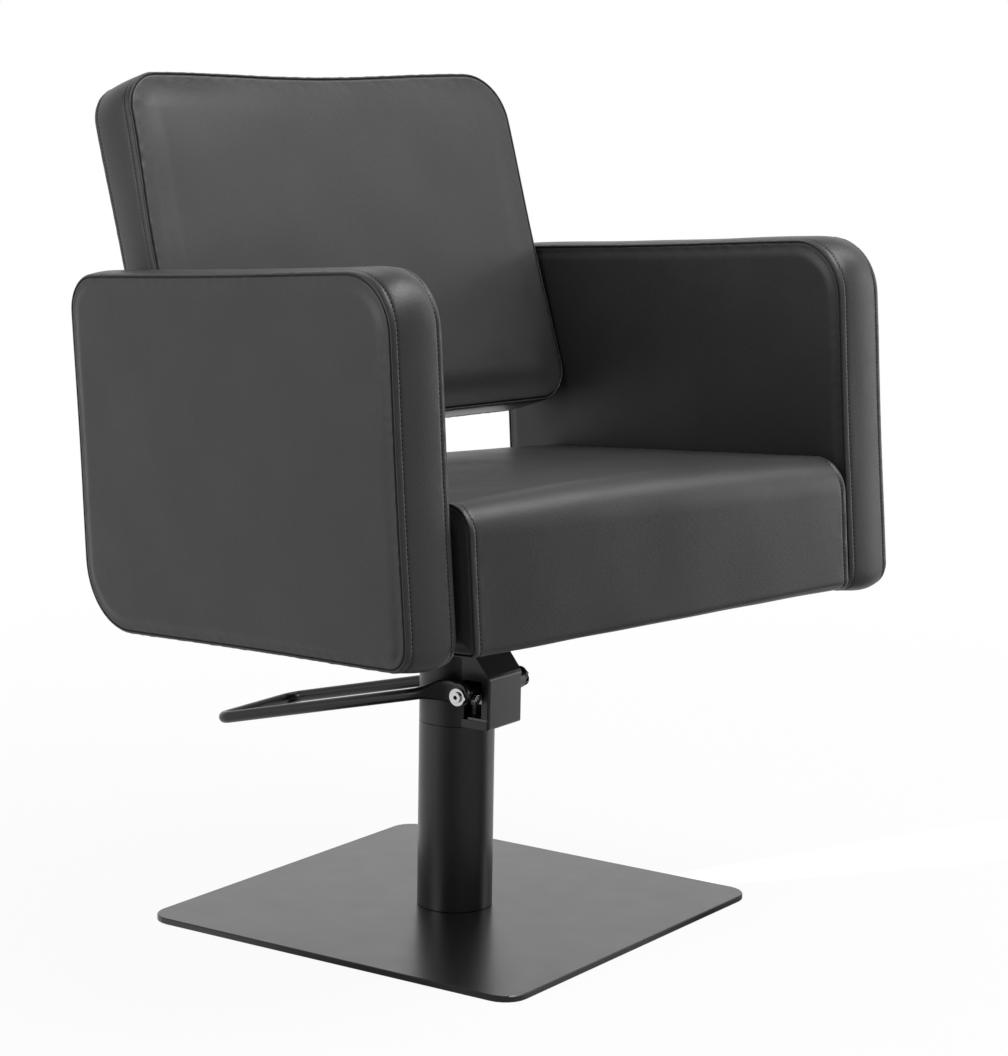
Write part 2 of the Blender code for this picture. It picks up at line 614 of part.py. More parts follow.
def build_plunger():
    """Pump plunger with its collar, and the coil spring under the collar."""
    collar_top = PLUNGER_TOP - COLLAR_DROP
    collar_bottom = collar_top - COLLAR_THICKNESS
    collar_radius = PLUNGER_RADIUS + COLLAR_RIM
    bottom = PLUNGER_TOP - PLUNGER_LENGTH
    profile = [(0.0, PLUNGER_TOP), (PLUNGER_RADIUS, PLUNGER_TOP), (PLUNGER_RADIUS, collar_top),
               (collar_radius, collar_top), (collar_radius, collar_bottom), (PLUNGER_RADIUS, collar_bottom),
               (PLUNGER_RADIUS, bottom), (0.0, bottom)]
    turned("plunger", profile, BASE, STEEL, location=PLUNGER_PLACE)
    coil_radius = PLUNGER_RADIUS + SPRING_GAP + SPRING_WIRE_RADIUS
    low = BLOCK_TOP + FIT + SPRING_WIRE_RADIUS
    high = collar_bottom - FIT - SPRING_WIRE_RADIUS
    turn_points = 10
    count = SPRING_TURNS * turn_points
    coil = []
    for index in range(count + 1):
        angle = 2 * pi * index / turn_points
        height = low + (high - low) * index / count
        coil.append(Vector((coil_radius * cos(angle), coil_radius * sin(angle), height)))
    gap = min((a - b).length for a, b in zip(coil, coil[turn_points:])) - 2 * SPRING_WIRE_RADIUS
    print(f"least gap between spring turns: {gap * 1000:.2f} mm")
    mesh = bar_mesh("plunger_spring", coil, SPRING_WIRE_RADIUS, 1)
    add_object("plunger_spring", mesh, BASE, STEEL, PLUNGER_PLACE)


def build_ram():
    """Piston, and the ram rod with its top flange."""
    piston = rod_profile(ROD_RADIUS + PISTON_RIM, PISTON_BOTTOM, PISTON_TOP)
    turned("ram_piston", piston, BASE, STEEL, TUBE_STEPS)
    rod_bottom = PISTON_TOP + FIT
    rod = [(0.0, FLANGE_TOP), (FLANGE_RADIUS, FLANGE_TOP), (FLANGE_RADIUS, FLANGE_BOTTOM),
           (ROD_RADIUS, FLANGE_BOTTOM), (ROD_RADIUS, rod_bottom), (0.0, rod_bottom)]
    return turned("ram_rod", rod, SWIVEL, STEEL, TUBE_STEPS)


def wedge(name, inset, half_width, material=None):
    """Block with a level bottom and a top that leans with the seat, shrunk by an inset."""
    half = BRACKET_HALF_LENGTH - inset
    shape = bmesh.new()
    bmesh.ops.create_cube(shape, size=2.0)
    for vert in shape.verts:
        y = half * vert.co.y
        level = BRACKET_BOTTOM + inset
        if vert.co.z > 0:
            level = BRACKET_TOP - inset / cos(SEAT_TILT) - y * tan(SEAT_TILT)
        vert.co = (half_width * vert.co.x, y, level)
    return add_object(name, mesh_from(name, shape), SWIVEL, material)


def build_bracket(ram_rod, board):
    """Wedge bracket between the ram's flange and the seat board, with its bolts."""
    bracket = wedge("seat_bracket", 0.0, BRACKET_HALF_WIDTH, POWDER_BLACK)
    cut(bracket, wedge("bracket_hollow", BRACKET_SHEET, 2 * BRACKET_HALF_WIDTH))
    head_seat = BRACKET_SHEET + FIT
    upward = (pi, 0, 0)
    for number, (right, rear) in enumerate([(1, 1), (-1, 1), (-1, -1), (1, -1)], start=1):
        place = (right * FLANGE_BOLT_SPREAD, rear * FLANGE_BOLT_SPREAD, BRACKET_BOTTOM + head_seat)
        hole = add_bolt(f"flange_bolt_{number}", head_seat + FIT + FLANGE_BOLT_GRIP, SWIVEL, place, (0, 0, 0))
        cut(bracket, hole)
        cut(ram_rod, hole)
        place = (right * BOARD_BOLT_SPREAD, rear * BOARD_BOLT_SPREAD, -head_seat)
        hole = add_bolt(f"board_bolt_{number}", head_seat + FIT + BOARD_BOLT_GRIP, SEAT, place, upward)
        cut(bracket, hole)
        cut(board, hole)


def add_bolt(name, length, parent, place, rotation):
    """A bracket bolt; gives the cutter for its hole."""
    profile = bolt_profile(BOLT_RADIUS, BOLT_HEAD_RADIUS, BOLT_HEAD, length)
    turned(name, profile, parent, STEEL, BOLT_STEPS, place, rotation)
    hole = rod_profile(BOLT_RADIUS + FIT, -length - FIT, BOLT_HEAD)
    return turned(name + "_hole", hole, parent, None, BOLT_STEPS, place, rotation)


def rounded_outline(corners, radii, pulls):
    """Closed anticlockwise outline with corner arcs; each side is drawn in by its pull."""
    count = len(corners)
    outline = []
    starts = []
    ends = []
    for index in range(count):
        corner = Vector(corners[index])
        before = (Vector(corners[index - 1]) - corner).normalized()
        after = (Vector(corners[(index + 1) % count]) - corner).normalized()
        reach = radii[index] / tan(before.angle(after) / 2)
        starts.append(corner + before * reach)
        ends.append(corner + after * reach)
    for index in range(count):
        corner = Vector(corners[index])
        inward = ((starts[index] + ends[index]) / 2 - corner).normalized()
        edge = (starts[index] - corner).normalized()
        centre = corner + inward * (radii[index] / sin(edge.angle(inward)))
        first = starts[index] - centre
        sweep = first.angle(ends[index] - centre)
        for step in range(CORNER_STEPS + 1):
            turn = Matrix.Rotation(sweep * step / CORNER_STEPS, 2)
            outline.append(centre + turn @ first)
        run = starts[(index + 1) % count] - ends[index]
        normal = Vector((run.y, -run.x)).normalized()
        for step in range(1, SIDE_STEPS + 1):
            share = step / (SIDE_STEPS + 1)
            outline.append(ends[index] + run * share - normal * (pulls[index] * 4 * share * (1 - share)))
    return outline


def outline_normals(outline):
    """Outward direction at each point of an anticlockwise outline."""
    normals = []
    count = len(outline)
    for index in range(count):
        along = outline[(index + 1) % count] - outline[index - 1]
        normals.append(Vector((along.y, -along.x)).normalized())
    return normals


def cushion(name, outline, half_depth, crowns, bulge, border_steps, parent, place, face_shares):
    """Boxed cushion: two crowned faces and a border between them.

    The outline is the seams' and lies across the depth. crowns gives the rise of the faces at the positive
    and the negative end. bulge(normal) gives how far the border swells at its middle. place(u, v, depth)
    puts a point in the parent frame.
    """
    normals = outline_normals(outline)
    centre = sum(outline, Vector((0.0, 0.0))) / len(outline)
    face_depth = half_depth + SEAM_SET
    flat = face_depth - EDGE_RADIUS

    def loop(out, share, depth, swell):
        points = []
        for point, normal in zip(outline, normals):
            moved = point + normal * (out + swell * bulge(normal))
            points.append(place(*(centre + (moved - centre) * share), depth))
        return points

    def face(sign, crown):
        loops = []
        for share in face_shares:
            depth = face_depth + crown * (1 - share ** CROWN_POWER)
            loops.append(loop(SEAM_SET - EDGE_RADIUS, share, sign * depth, 0.0))
        loops.append(loop(0.0, 1.0, sign * half_depth, 0.0))
        return loops

    border = []
    for step in range(border_steps + 1):
        depth = flat * (1 - 2 * step / border_steps)
        border.append(loop(SEAM_SET, 1.0, depth, 1 - (depth / flat) ** 2))
    shape = bmesh.new()
    rows = []
    for points in face(1, crowns[0]) + border + face(-1, crowns[1])[::-1]:
        rows.append([shape.verts.new(point) for point in points])
    count = len(outline)
    for upper, lower in zip(rows, rows[1:]):
        for index in range(count):
            after = (index + 1) % count
            shape.faces.new((upper[index], upper[after], lower[after], lower[index]))
    for row, depth in ((rows[0], face_depth + crowns[0]), (rows[-1], -face_depth - crowns[1])):
        tip = shape.verts.new(place(*centre, depth))
        for index in range(count):
            shape.faces.new((row[index], row[(index + 1) % count], tip))
    return add_object(name, mesh_from(name, shape, smooth=True), parent, LEATHERETTE)


def build_seat():
    """Seat cushion over its wooden board and rails."""
    corners = [(SEAT_FRONT, 0.0), (SEAT_REAR, 0.0), (SEAT_REAR, SEAT_THICKNESS), (SEAT_FRONT, SEAT_THICKNESS)]
    radii = [SEAT_BOTTOM_RADIUS, SEAT_BOTTOM_RADIUS, SEAT_REAR_RADIUS, SEAT_FRONT_RADIUS]
    outline = rounded_outline(corners, radii, [0.0] * 4)

    def bulge(normal):
        up = max(0.0, normal.y)
        level = 0.0 if normal.y < -0.5 else abs(normal.x)
        return SEAT_CROWN * up * up + SEAT_FRONT_CROWN * level * level

    def place(u, v, depth):
        return (depth, u, v)

    seat = cushion("seat_cushion", outline, SEAT_HALF_WIDTH, (SEAT_GUSSET_CROWN, SEAT_GUSSET_CROWN), bulge,
                   SEAT_BORDER_STEPS, SEAT, place, GUSSET_SHARES)
    half = SEAT_HALF_WIDTH - BOARD_INSET
    front = SEAT_FRONT + BOARD_INSET
    rear = SEAT_REAR - BOARD_INSET
    board_top = FIT + BOARD_THICKNESS
    rail_bottom = board_top + FIT
    rail_top = rail_bottom + RAIL_HEIGHT
    board = box("seat_board", (-half, front, FIT), (half, rear, board_top), SEAT, PLYWOOD)
    cut(seat, box("board_pocket", (-half - FIT, front - FIT, -BOARD_THICKNESS),
                  (half + FIT, rear + FIT, rail_bottom), SEAT))
    rails = {}
    for side, sign in SIDES.items():
        inner = half - RAIL_THICKNESS
        rails[side] = box(f"seat_rail_{side}", (sign * inner, front, rail_bottom),
                          (sign * half, rear, rail_top), SEAT, PLYWOOD)
        cut(seat, box(f"rail_slot_{side}", (sign * (inner - FIT), front - FIT, board_top - FIT),
                      (sign * (half + FIT), rear + FIT, rail_top + FIT), SEAT))
    return seat, board, rails


def build_arms():
    """The two boxed arms, each in its own frame at its front inner seam."""
    corners = [(0.0, ARM_BOTTOM_FRONT), (ARM_LENGTH, ARM_BOTTOM_REAR), (ARM_LENGTH, ARM_TOP), (0.0, ARM_TOP)]
    radii = [ARM_FRONT_BOTTOM_RADIUS, ARM_REAR_BOTTOM_RADIUS, ARM_REAR_TOP_RADIUS, ARM_FRONT_TOP_RADIUS]
    outline = rounded_outline(corners, radii, [ARM_PULL] * 4)

    def bulge(normal):
        corner = 2 * normal.x * normal.y
        return ARM_BORDER_CROWN + ARM_CORNER_CROWN * corner * corner

    arms = {}
    for side, sign in SIDES.items():
        middle = sign * ARM_THICKNESS / 2
        crowns = (ARM_OUTER_CROWN, ARM_INNER_CROWN)[::sign]

        def place(u, v, depth, middle=middle):
            return (middle + depth, u, v)

        arms[side] = cushion(f"arm_cushion_{side}", outline, ARM_THICKNESS / 2, crowns, bulge, BORDER_STEPS,
                             ARMS[side], place, FACE_SHARES)
    return arms


def arm_inner_at(y):
    """Where the seam plane of an arm's inner face lies, at a place along the seat."""
    return ARM_INNER - (y - ARM_FRONT) * tan(ARM_TOE)


def back_half_at(height):
    """Half the backrest's width at a height in its own frame."""
    between_arms = arm_inner_at(BACK_FORWARD + BACK_THICKNESS) - 2 * SEAM_SET - BACK_GAP
    return between_arms - BACK_BORDER_CROWN - height * tan(BACK_TAPER)


def build_backrest():
    """Backrest cushion, wider at its foot than at its top."""
    half_bottom = back_half_at(BACK_BOTTOM)
    half_top = back_half_at(BACK_TOP)
    corners = [(-half_bottom, BACK_BOTTOM), (half_bottom, BACK_BOTTOM), (half_top, BACK_TOP),
               (-half_top, BACK_TOP)]
    radii = [BACK_BOTTOM_RADIUS, BACK_BOTTOM_RADIUS, BACK_TOP_RADIUS, BACK_TOP_RADIUS]
    outline = rounded_outline(corners, radii, [0.0, BACK_SIDE_PULL, BACK_TOP_PULL, BACK_SIDE_PULL])

    def place(u, v, depth):
        return (u, BACK_THICKNESS / 2 - depth, v)

    return cushion("backrest_cushion", outline, BACK_THICKNESS / 2, (BACK_CROWN, BACK_REAR_CROWN),
                   lambda normal: BACK_BORDER_CROWN, BORDER_STEPS, BACK, place, FACE_SHARES)


def stud_profile(ends, grow):
    """Stud along its axis: shank from ends[0] to ends[3] with a shoulder from ends[1] to ends[2]."""
    start, shoulder_start, shoulder_end, end = ends
    shank = STUD_RADIUS + grow
    shoulder = STUD_SHOULDER_RADIUS + grow
    return [(0.0, end + grow), (shank, end + grow),
            (shank, shoulder_end + grow), (shoulder, shoulder_end + grow),
            (shoulder, shoulder_start - grow), (shank, shoulder_start - grow),
            (shank, start - grow), (0.0, start - grow)]


def add_stud(name, parent, sign, place, ends, hosts):
    """A shouldered stud along X, with its hole in each piece that it holds."""
    turned(name, stud_profile(ends, 0.0), parent, STEEL, BOLT_STEPS, place, ALONG_X[sign])
    hole = turned(name + "_hole", stud_profile(ends, FIT), parent, None, BOLT_STEPS, place, ALONG_X[sign])
    for host in hosts:
        cut(host, hole)


def build_studs(seat, rails, arms, backrest):
    """Studs from the seat rails to the arms and from the arms to the backrest."""
    rail_outer = SEAT_HALF_WIDTH - BOARD_INSET
    rail_middle = FIT + BOARD_THICKNESS + FIT + RAIL_HEIGHT / 2
    arm_places = {"front": SEAT_FRONT + BOARD_INSET + ARM_STUD_INSET,
                  "rear": SEAT_REAR - BOARD_INSET - ARM_STUD_INSET}
    for side, sign in SIDES.items():
        for label, along in arm_places.items():
            face = arm_inner_at(along)
            ends = (rail_outer - STUD_RAIL_DEPTH, rail_outer + FIT,
                    face + STUD_PRESS, face + STUD_ARM_DEPTH)
            add_stud(f"arm_stud_{side}_{label}", SEAT, sign, (0.0, along, rail_middle), ends,
                     (rails[side], seat, arms[side]))
        for label, height in BACK_STUD_PLACES.items():
            middle = BACK_THICKNESS / 2
            face = arm_inner_at(BACK_FORWARD + middle * cos(BACK_RECLINE) + height * sin(BACK_RECLINE))
            back_side = back_half_at(height) - BACK_SIDE_PULL
            ends = (back_side - STUD_BACK_DEPTH, back_side - STUD_PRESS,
                    face + STUD_PRESS, face + STUD_ARM_DEPTH)
            add_stud(f"back_stud_{side}_{label}", BACK, sign, (0.0, middle, height), ends,
                     (backrest, arms[side]))


build_base()
build_pump()
build_cover()
build_pedal()
build_plunger()
RAM_ROD = build_ram()
SEAT_CUSHION, SEAT_BOARD, SEAT_RAILS = build_seat()
build_bracket(RAM_ROD, SEAT_BOARD)
ARM_CUSHIONS = build_arms()
BACKREST = build_backrest()
build_studs(SEAT_CUSHION, SEAT_RAILS, ARM_CUSHIONS, BACKREST)
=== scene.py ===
"""Looks of the styling chair: sewn leatherette cushions, coated steel, chrome and the studio round them."""

import json
from collections import namedtuple
from math import cos, pi, radians, sin, sqrt, tan

import bmesh
import bpy
import numpy as np
from mathutils import Matrix, Vector

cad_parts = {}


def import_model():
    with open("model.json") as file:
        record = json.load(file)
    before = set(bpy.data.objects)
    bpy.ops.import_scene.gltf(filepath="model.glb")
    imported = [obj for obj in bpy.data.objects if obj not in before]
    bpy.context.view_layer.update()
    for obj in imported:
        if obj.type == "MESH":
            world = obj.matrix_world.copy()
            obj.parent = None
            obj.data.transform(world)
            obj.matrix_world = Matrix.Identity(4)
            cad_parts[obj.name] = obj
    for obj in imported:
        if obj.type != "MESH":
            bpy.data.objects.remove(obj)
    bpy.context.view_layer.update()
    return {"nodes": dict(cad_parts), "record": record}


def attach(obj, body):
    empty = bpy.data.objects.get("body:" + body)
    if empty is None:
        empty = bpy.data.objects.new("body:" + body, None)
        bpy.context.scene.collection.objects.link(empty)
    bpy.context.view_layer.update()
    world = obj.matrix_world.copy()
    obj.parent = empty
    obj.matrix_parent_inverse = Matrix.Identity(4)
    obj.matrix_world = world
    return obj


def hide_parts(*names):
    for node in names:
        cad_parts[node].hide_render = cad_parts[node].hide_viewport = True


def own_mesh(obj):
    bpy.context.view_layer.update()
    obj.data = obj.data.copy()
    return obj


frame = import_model()

# The outline of one seam: its corners, the radii of its corners and how far its sides are drawn in
Outline = namedtuple("Outline", "corners radii pulls")
# The rise of a face beside its seam: a tight edge, then the swell of the padding
Roll = namedtuple("Roll", "edge_width edge_height swell_start swell_end swell_height")

# The photograph's camera
VIEW_AZIMUTH = radians(-43.955)
VIEW_PITCH = radians(10.0138)
VIEW_ROLL = radians(0.9242)
VIEW_LENS = 107.117
VIEW_SENSOR = 36.0
VIEW_OFFSET = (-0.051499, -0.394889, -3.26484)

# Seat cushion: its frame and sizes as in the part, then how it is sewn
# Radii go from the lower front corner round by the rear to the upper front corner
SEAT_TILT = radians(5.0)
BRACKET_TOP = 0.32725
SEAT_HALF_WIDTH = 0.258
SEAT_FRONT = -0.299
SEAT_REAR = 0.1385
SEAT_THICKNESS = 0.1294
# The left seam rises towards the front, where its corner is tighter
SEAT_LEFT_RISE = 0.007
SEAT_RADII_RIGHT = (0.008, 0.008, 0.024, 0.034)
SEAT_RADII_LEFT = (0.006, 0.008, 0.024, 0.027)
SEAT_PULLS = (0.0, 0.0, 0.0, 0.0)
SEAT_ROLL = Roll(0.003, 0.0012, 0.003, 0.016, 0.0022)
SEAT_CROWN = 0.002
SEAT_TOP_BULGE = 0.0075
SEAT_FRONT_BULGE = 0.005
# Where the border's normal points further down than this, it lies flat on the board
SEAT_UNDERSIDE = -0.5
SEAT_SEED = 11

# Arm cushions: sizes as in the part, then how they are sewn
# Radii go from the lower front corner round by the rear to the upper front corner
ARM_INNER = 0.2724
ARM_THICKNESS = 0.0586
ARM_FRONT = -0.2892
ARM_LENGTH = 0.479
ARM_TOP = 0.3475
ARM_BOTTOM_FRONT = -0.0055
ARM_BOTTOM_REAR = 0.0015
ARM_TOE = radians(1.03)
ARM_RADII = (0.022, 0.067, 0.034, 0.055)
ARM_PULLS = (0.001, 0.001, 0.001, 0.001)
ARM_OUTER_ROLL = Roll(0.0025, 0.0009, 0.004, 0.017, 0.0023)
ARM_INNER_ROLL = Roll(0.0025, 0.0006, 0.003, 0.015, 0.0020)
ARM_OUTER_CROWN = 0.0034
ARM_INNER_CROWN = 0.0006
ARM_BULGE = 0.003
ARM_CORNER_BULGE = 0.004
ARM_SEED = 23

# Backrest: sizes as in the part, except its thickness, as the cover draws the padding together
# Sides go bottom, right, top and left, and corners from the lower left one
BACK_RECLINE = radians(13.2)
BACK_FORWARD = 0.0999
BACK_LEVEL = 0.223
BACK_TOP = 0.3244
BACK_BOTTOM = -0.0377
BACK_HALF_BOTTOM = 0.2594
BACK_HALF_TOP = 0.2537
BACK_THICKNESS = 0.0595
# The hand-sewn top edge isn't quite level
BACK_LEFT_SLACK = 0.0056
BACK_RIGHT_SLACK = -0.0024
BACK_RADII = (0.037, 0.037, 0.052, 0.037)
BACK_FRONT_PULLS = (0.0, 0.002, 0.005, -0.005)
BACK_REAR_PULLS = (0.0, 0.002, 0.005, 0.002)
BACK_FRONT_ROLL = Roll(0.0025, 0.0010, 0.011, 0.040, 0.0035)
BACK_REAR_ROLL = Roll(0.0025, 0.0010, 0.005, 0.030, 0.0024)
BACK_FRONT_CROWN = 0.0012
BACK_REAR_CROWN = 0.0030
# How much of the swell each side has
BACK_SWELLS = (1.7, 0.2, 0.0, 1.15)
BACK_BULGE = 0.001
BACK_SIDE_BULGE = 0.003
BACK_SEED = 37

# Sewing, around the seam between a face and its border
SEAM_SET = 0.00176
SEAM_CUT = 0.0014
GROOVE_INSET = 0.0008
LIP_RADIUS = 0.0011
LIP_RISE = 0.0003
LIP_ANGLES = (160, 130, 100, 70, 40, 15)
# The lip's shades are painted shade, darkest next to the seam's groove
LIP_SHADES = (1.0, 0.45, 0.0, 0.0, 0.0, 0.0)
FACE_START = 0.0013
RIDGE_HEIGHT = 0.0004
STITCH_INSET = 0.0063
STITCH_DIP = 0.0006
STITCH_DIP_WIDTH = 0.0011
# Painted shade in the colour along the topstitch's dip
STITCH_SHADE = 0.35
STITCH_SHADE_WIDTH = 0.4 * STITCH_DIP_WIDTH
STITCH_PITCH = 0.0042
STITCH_LENGTH = 0.0031
STITCH_RADIUS = 0.00042
STITCH_LIFT = 0.00022
# How deep the ends of a stitch dive, as a share of its lift, and how much thinner they get
STITCH_DIVE = 2.2
STITCH_TAPER = 0.75
THREAD_SIDES = 6
THREAD_STATIONS = 5
# Half the run over which a stitch's direction is taken
THREAD_REACH = 1e-4
CROWN_POWER = 2.4
CROWN_BLEND = 6.0
SIDE_BLEND = 0.015
LEAST_RADIUS = 0.001

# Mesh spacing of the cushions
SPACING = 0.0036
CORNER_STEPS = 14
FACE_INSETS = (0.0013, 0.0017, 0.0023, 0.0032, 0.0045, 0.0062, 0.0082, 0.0105, 0.0132, 0.0162, 0.0196,
               0.0233, 0.0273, 0.0316, 0.0360, 0.0405)
# Painted shade on the face's rows nearest the seam
FACE_SHADES = (0.8, 0.45, 0.12)
EDGE_STEPS = (0.0017, 0.0024, 0.0033, 0.0043, 0.0052, 0.0058, 0.0063, 0.0068, 0.0074, 0.0084, 0.0100,
              0.0121, 0.0142)
BORDER_SPACING = 0.0045

# Slackness of the covers
LUMP_WAVE = 0.110
LUMP_HEIGHT = 0.00035
LUMP_EASE = 0.018
PUCKER_WAVE = 0.010
PUCKER_HEIGHT = 0.00028
PUCKER_REACH = 0.007
PUCKER_EASE = 0.0015
WAVES = 7
# Shortest and longest wave, as shares of the wave asked for
WAVE_SPREAD = (0.7, 1.5)

# Lever head, as in the part; the base is turned under the seat
BASE_TURN = radians(11.8)
SHAFT_FORWARD = 0.038
SHAFT_HEIGHT = 0.24
SHAFT_ENDS = {"left": 0.047, "right": 0.055}
FIT = 0.0003
EYE_RADIUS = 0.011
EYE_THICKNESS = 0.0062
BAR_RADIUS = 0.0062
PEDAL_HALF_WIDTH = 0.063
PEDAL_LENGTH = 0.303
PEDAL_SLOPE = radians(13.9)
PEDAL_RISE = 0.0099
PEDAL_CORNER = 0.017
PEDAL_BEND = 0.055
COVER_HALF_WIDTH = 0.0295
COVER_FRONT = 0.060
COVER_SHEET = 0.002
COVER_BOTTOM = 0.203
WINDOW_SILL = 0.0085
SOCKET_RADIUS = 0.0023

# Forged ends of the pedal bar: reach past the shaft, half height and the run over which the bar gets round
BAR_ENDS = {"left": 0.0115, "right": 0.0088}
BAR_FLAT_HEIGHTS = {"left": 0.0118, "right": 0.0092}
BAR_FLAT_START = 0.012
BAR_FLAT_END = 0.046
# The flatter the bar, the squarer its section
BAR_SQUARENESS = 0.8
# How fast the bar's drop at the shaft fades along it
BAR_DROP_POWER = 6
BAR_SIDES = 24
BAR_TIP_START = 0.06
BAR_TIP_ROWS = 9
BAR_BEND_START = 0.004
BAR_BEND_ROWS = 24
BAR_CORNER_ROWS = 13

# Rounded edges of the rigid pieces
SHARP_EDGE = radians(35)
FLAT_EDGE = radians(1)
SAME_SPOT = 1e-6
RIM_STEPS = 3
RIM_PROFILE = 0.5
COVER_BEND = 0.0028
COVER_RIM = 0.0006
SCREW_RIM = 0.0003
TUBE_RIM = 0.0004

# Steel strip on the sill of each window in the lever cover
LEDGE_INSIDE = 0.004
LEDGE_PROUD = 0.0004
LEDGE_LENGTH = 0.024
LEDGE_THICKNESS = 0.0032
LEDGE_EDGE = 0.0006
LEDGE_STEPS = 2

# Finishes of single pieces that differ from their slot's
OILED = ("plunger", "plunger_spring", "pump_block", "rocker", "inner_cylinder")
SPECIAL_LOOKS = {"base_plate": "plate_coat", **{node: "oiled_steel" for node in OILED}}

BRONZE_DARK = (0.42, 0.27, 0.11, 1.0)
BRONZE_LIGHT = (0.55, 0.38, 0.18, 1.0)
# Usual range of a noise texture's values
NOISE_LOW = 0.3
NOISE_HIGH = 0.7
# Stretch of the tool marks on turned steel
TURNED = (40, 40, 600)
# Stretch of the grain on plywood
LONG_GRAIN = (3.0, 60.0, 60.0)

# Studio floor: its reach, its drop below the base, and how white the camera sees it near and far
FLOOR_REACH = 40.0
FLOOR_DROP = 0.0004
FLOOR_NEAR = 0.4
FLOOR_FAR = 1.8
FLOOR_NEAR_WHITE = 0.94
# Brightness of the studio's walls as reflections show it, by compass angle in degrees from +X towards +Y
WALL_LEVELS = {-180: 0.35, -160: 0.15, -140: 0.18, -115: 0.40, -70: 0.38, -46: 0.10, -32: 0.30,
               -22: 1.25, 0: 0.70, 45: 1.0, 90: 0.85, 135: 0.75, 158: 0.75, 180: 0.35}
CEILING_LEVEL = 0.22
# Rise of a direction, as a sine, at which the walls begin to turn into the ceiling and have turned into it
CEILING_START = 0.35
CEILING_FULL = 0.80
AMBIENT = 0.24
# Softboxes: place, target, width, height and power
SOFTBOXES = {
    "key_softbox": ((0.4, -1.1, 2.3), (0, 0, 0.5), 1.0, 1.0, 31.0),
    "back_softbox": ((0.1, 1.0, 2.2), (0, 0, 0.5), 1.4, 1.0, 8.0),
    "left_softbox": ((-2.6, 0.5, 1.4), (0, 0, 0.6), 1.4, 1.8, 24.0),
    "right_top_softbox": ((1.3, -0.6, 2.3), (0, 0, 0.7), 0.5, 1.4, 12.0),
    "right_softbox": ((1.9, -1.1, 0.7), (0, 0, 0.4), 0.7, 1.2, 6.5),
}

SIDES = {"left": -1, "right": 1}
SEAT = Matrix.Translation((0, 0, BRACKET_TOP)) @ Matrix.Rotation(-SEAT_TILT, 4, "X")
BASE = Matrix.Rotation(BASE_TURN, 4, "Z")
LEVER = BASE @ Matrix.Translation((0, -SHAFT_FORWARD, SHAFT_HEIGHT))
BACK = SEAT @ Matrix.Translation((0, BACK_FORWARD, BACK_LEVEL)) @ Matrix.Rotation(-BACK_RECLINE, 4, "X")


# Materials

class Nodes:
    """A node tree that is put together step by step."""

    def __init__(self, tree):
        self.tree = tree

    def add(self, kind, inputs=None, **settings):
        made = self.tree.nodes.new(kind)
        for key, value in settings.items():
            setattr(made, key, value)
        for key, value in (inputs or {}).items():
            self.put(made.inputs[key], value)
        return made

    def put(self, socket, value):
        if isinstance(value, bpy.types.NodeSocket):
            self.tree.links.new(value, socket)
        else:
            socket.default_value = value

    def place(self, stretch=(1, 1, 1)):
        spot = self.add("ShaderNodeTexCoord").outputs["Object"]
        return self.add("ShaderNodeMapping", {"Vector": spot, "Scale": stretch}).outputs["Vector"]

    def noise(self, spot, scale, detail=3.0, roughness=0.5):
        values = {"Vector": spot, "Scale": scale, "Detail": detail, "Roughness": roughness}
        return self.add("ShaderNodeTexNoise", values).outputs["Fac"]

    def cells(self, spot, scale):
        values = {"Vector": spot, "Scale": scale}
        return self.add("ShaderNodeTexVoronoi", values, feature="SMOOTH_F1").outputs["Distance"]

    def ramp(self, value, low, high, dark, light):
        values = {"Value": value, "From Min": low, "From Max": high, "To Min": dark, "To Max": light}
        return self.add("ShaderNodeMapRange", values).outputs["Result"]

    def spread(self, noise, dark, light):
        """A noise whose usual range goes from dark to light."""
        return self.ramp(noise, NOISE_LOW, NOISE_HIGH, dark, light)

    def blend(self, share, first, second, mode="MIX"):
        made = self.add("ShaderNodeMix", data_type="RGBA", blend_type=mode)
        self.put(made.inputs["Factor"], share)
        self.put(made.inputs["A"], first)
        self.put(made.inputs["B"], second)
        return made.outputs["Result"]

    def math(self, operation, first, second):
        return self.add("ShaderNodeMath", {0: first, 1: second}, operation=operation).outputs["Value"]

    def bump(self, height, strength, distance, below=None):
        values = {"Height": height, "Strength": strength, "Distance": distance}
        if below is not None:
            values["Normal"] = below
        return self.add("ShaderNodeBump", values).outputs["Normal"]


class Shader(Nodes):
    """A node material around one surface shader."""

    def __init__(self, name):
        self.material = bpy.data.materials.new(name)
        self.material.use_nodes = True
        super().__init__(self.material.node_tree)
        self.surface = self.tree.nodes["Principled BSDF"]

    def set(self, **values):
        """Values of the surface's sockets, which are named with underscores for spaces."""
        for key, value in values.items():
            self.put(self.surface.inputs[key.replace("_", " ")], value)


def grey(level, tint=(1.0, 1.0, 1.0)):
    return (level * tint[0], level * tint[1], level * tint[2], 1.0)


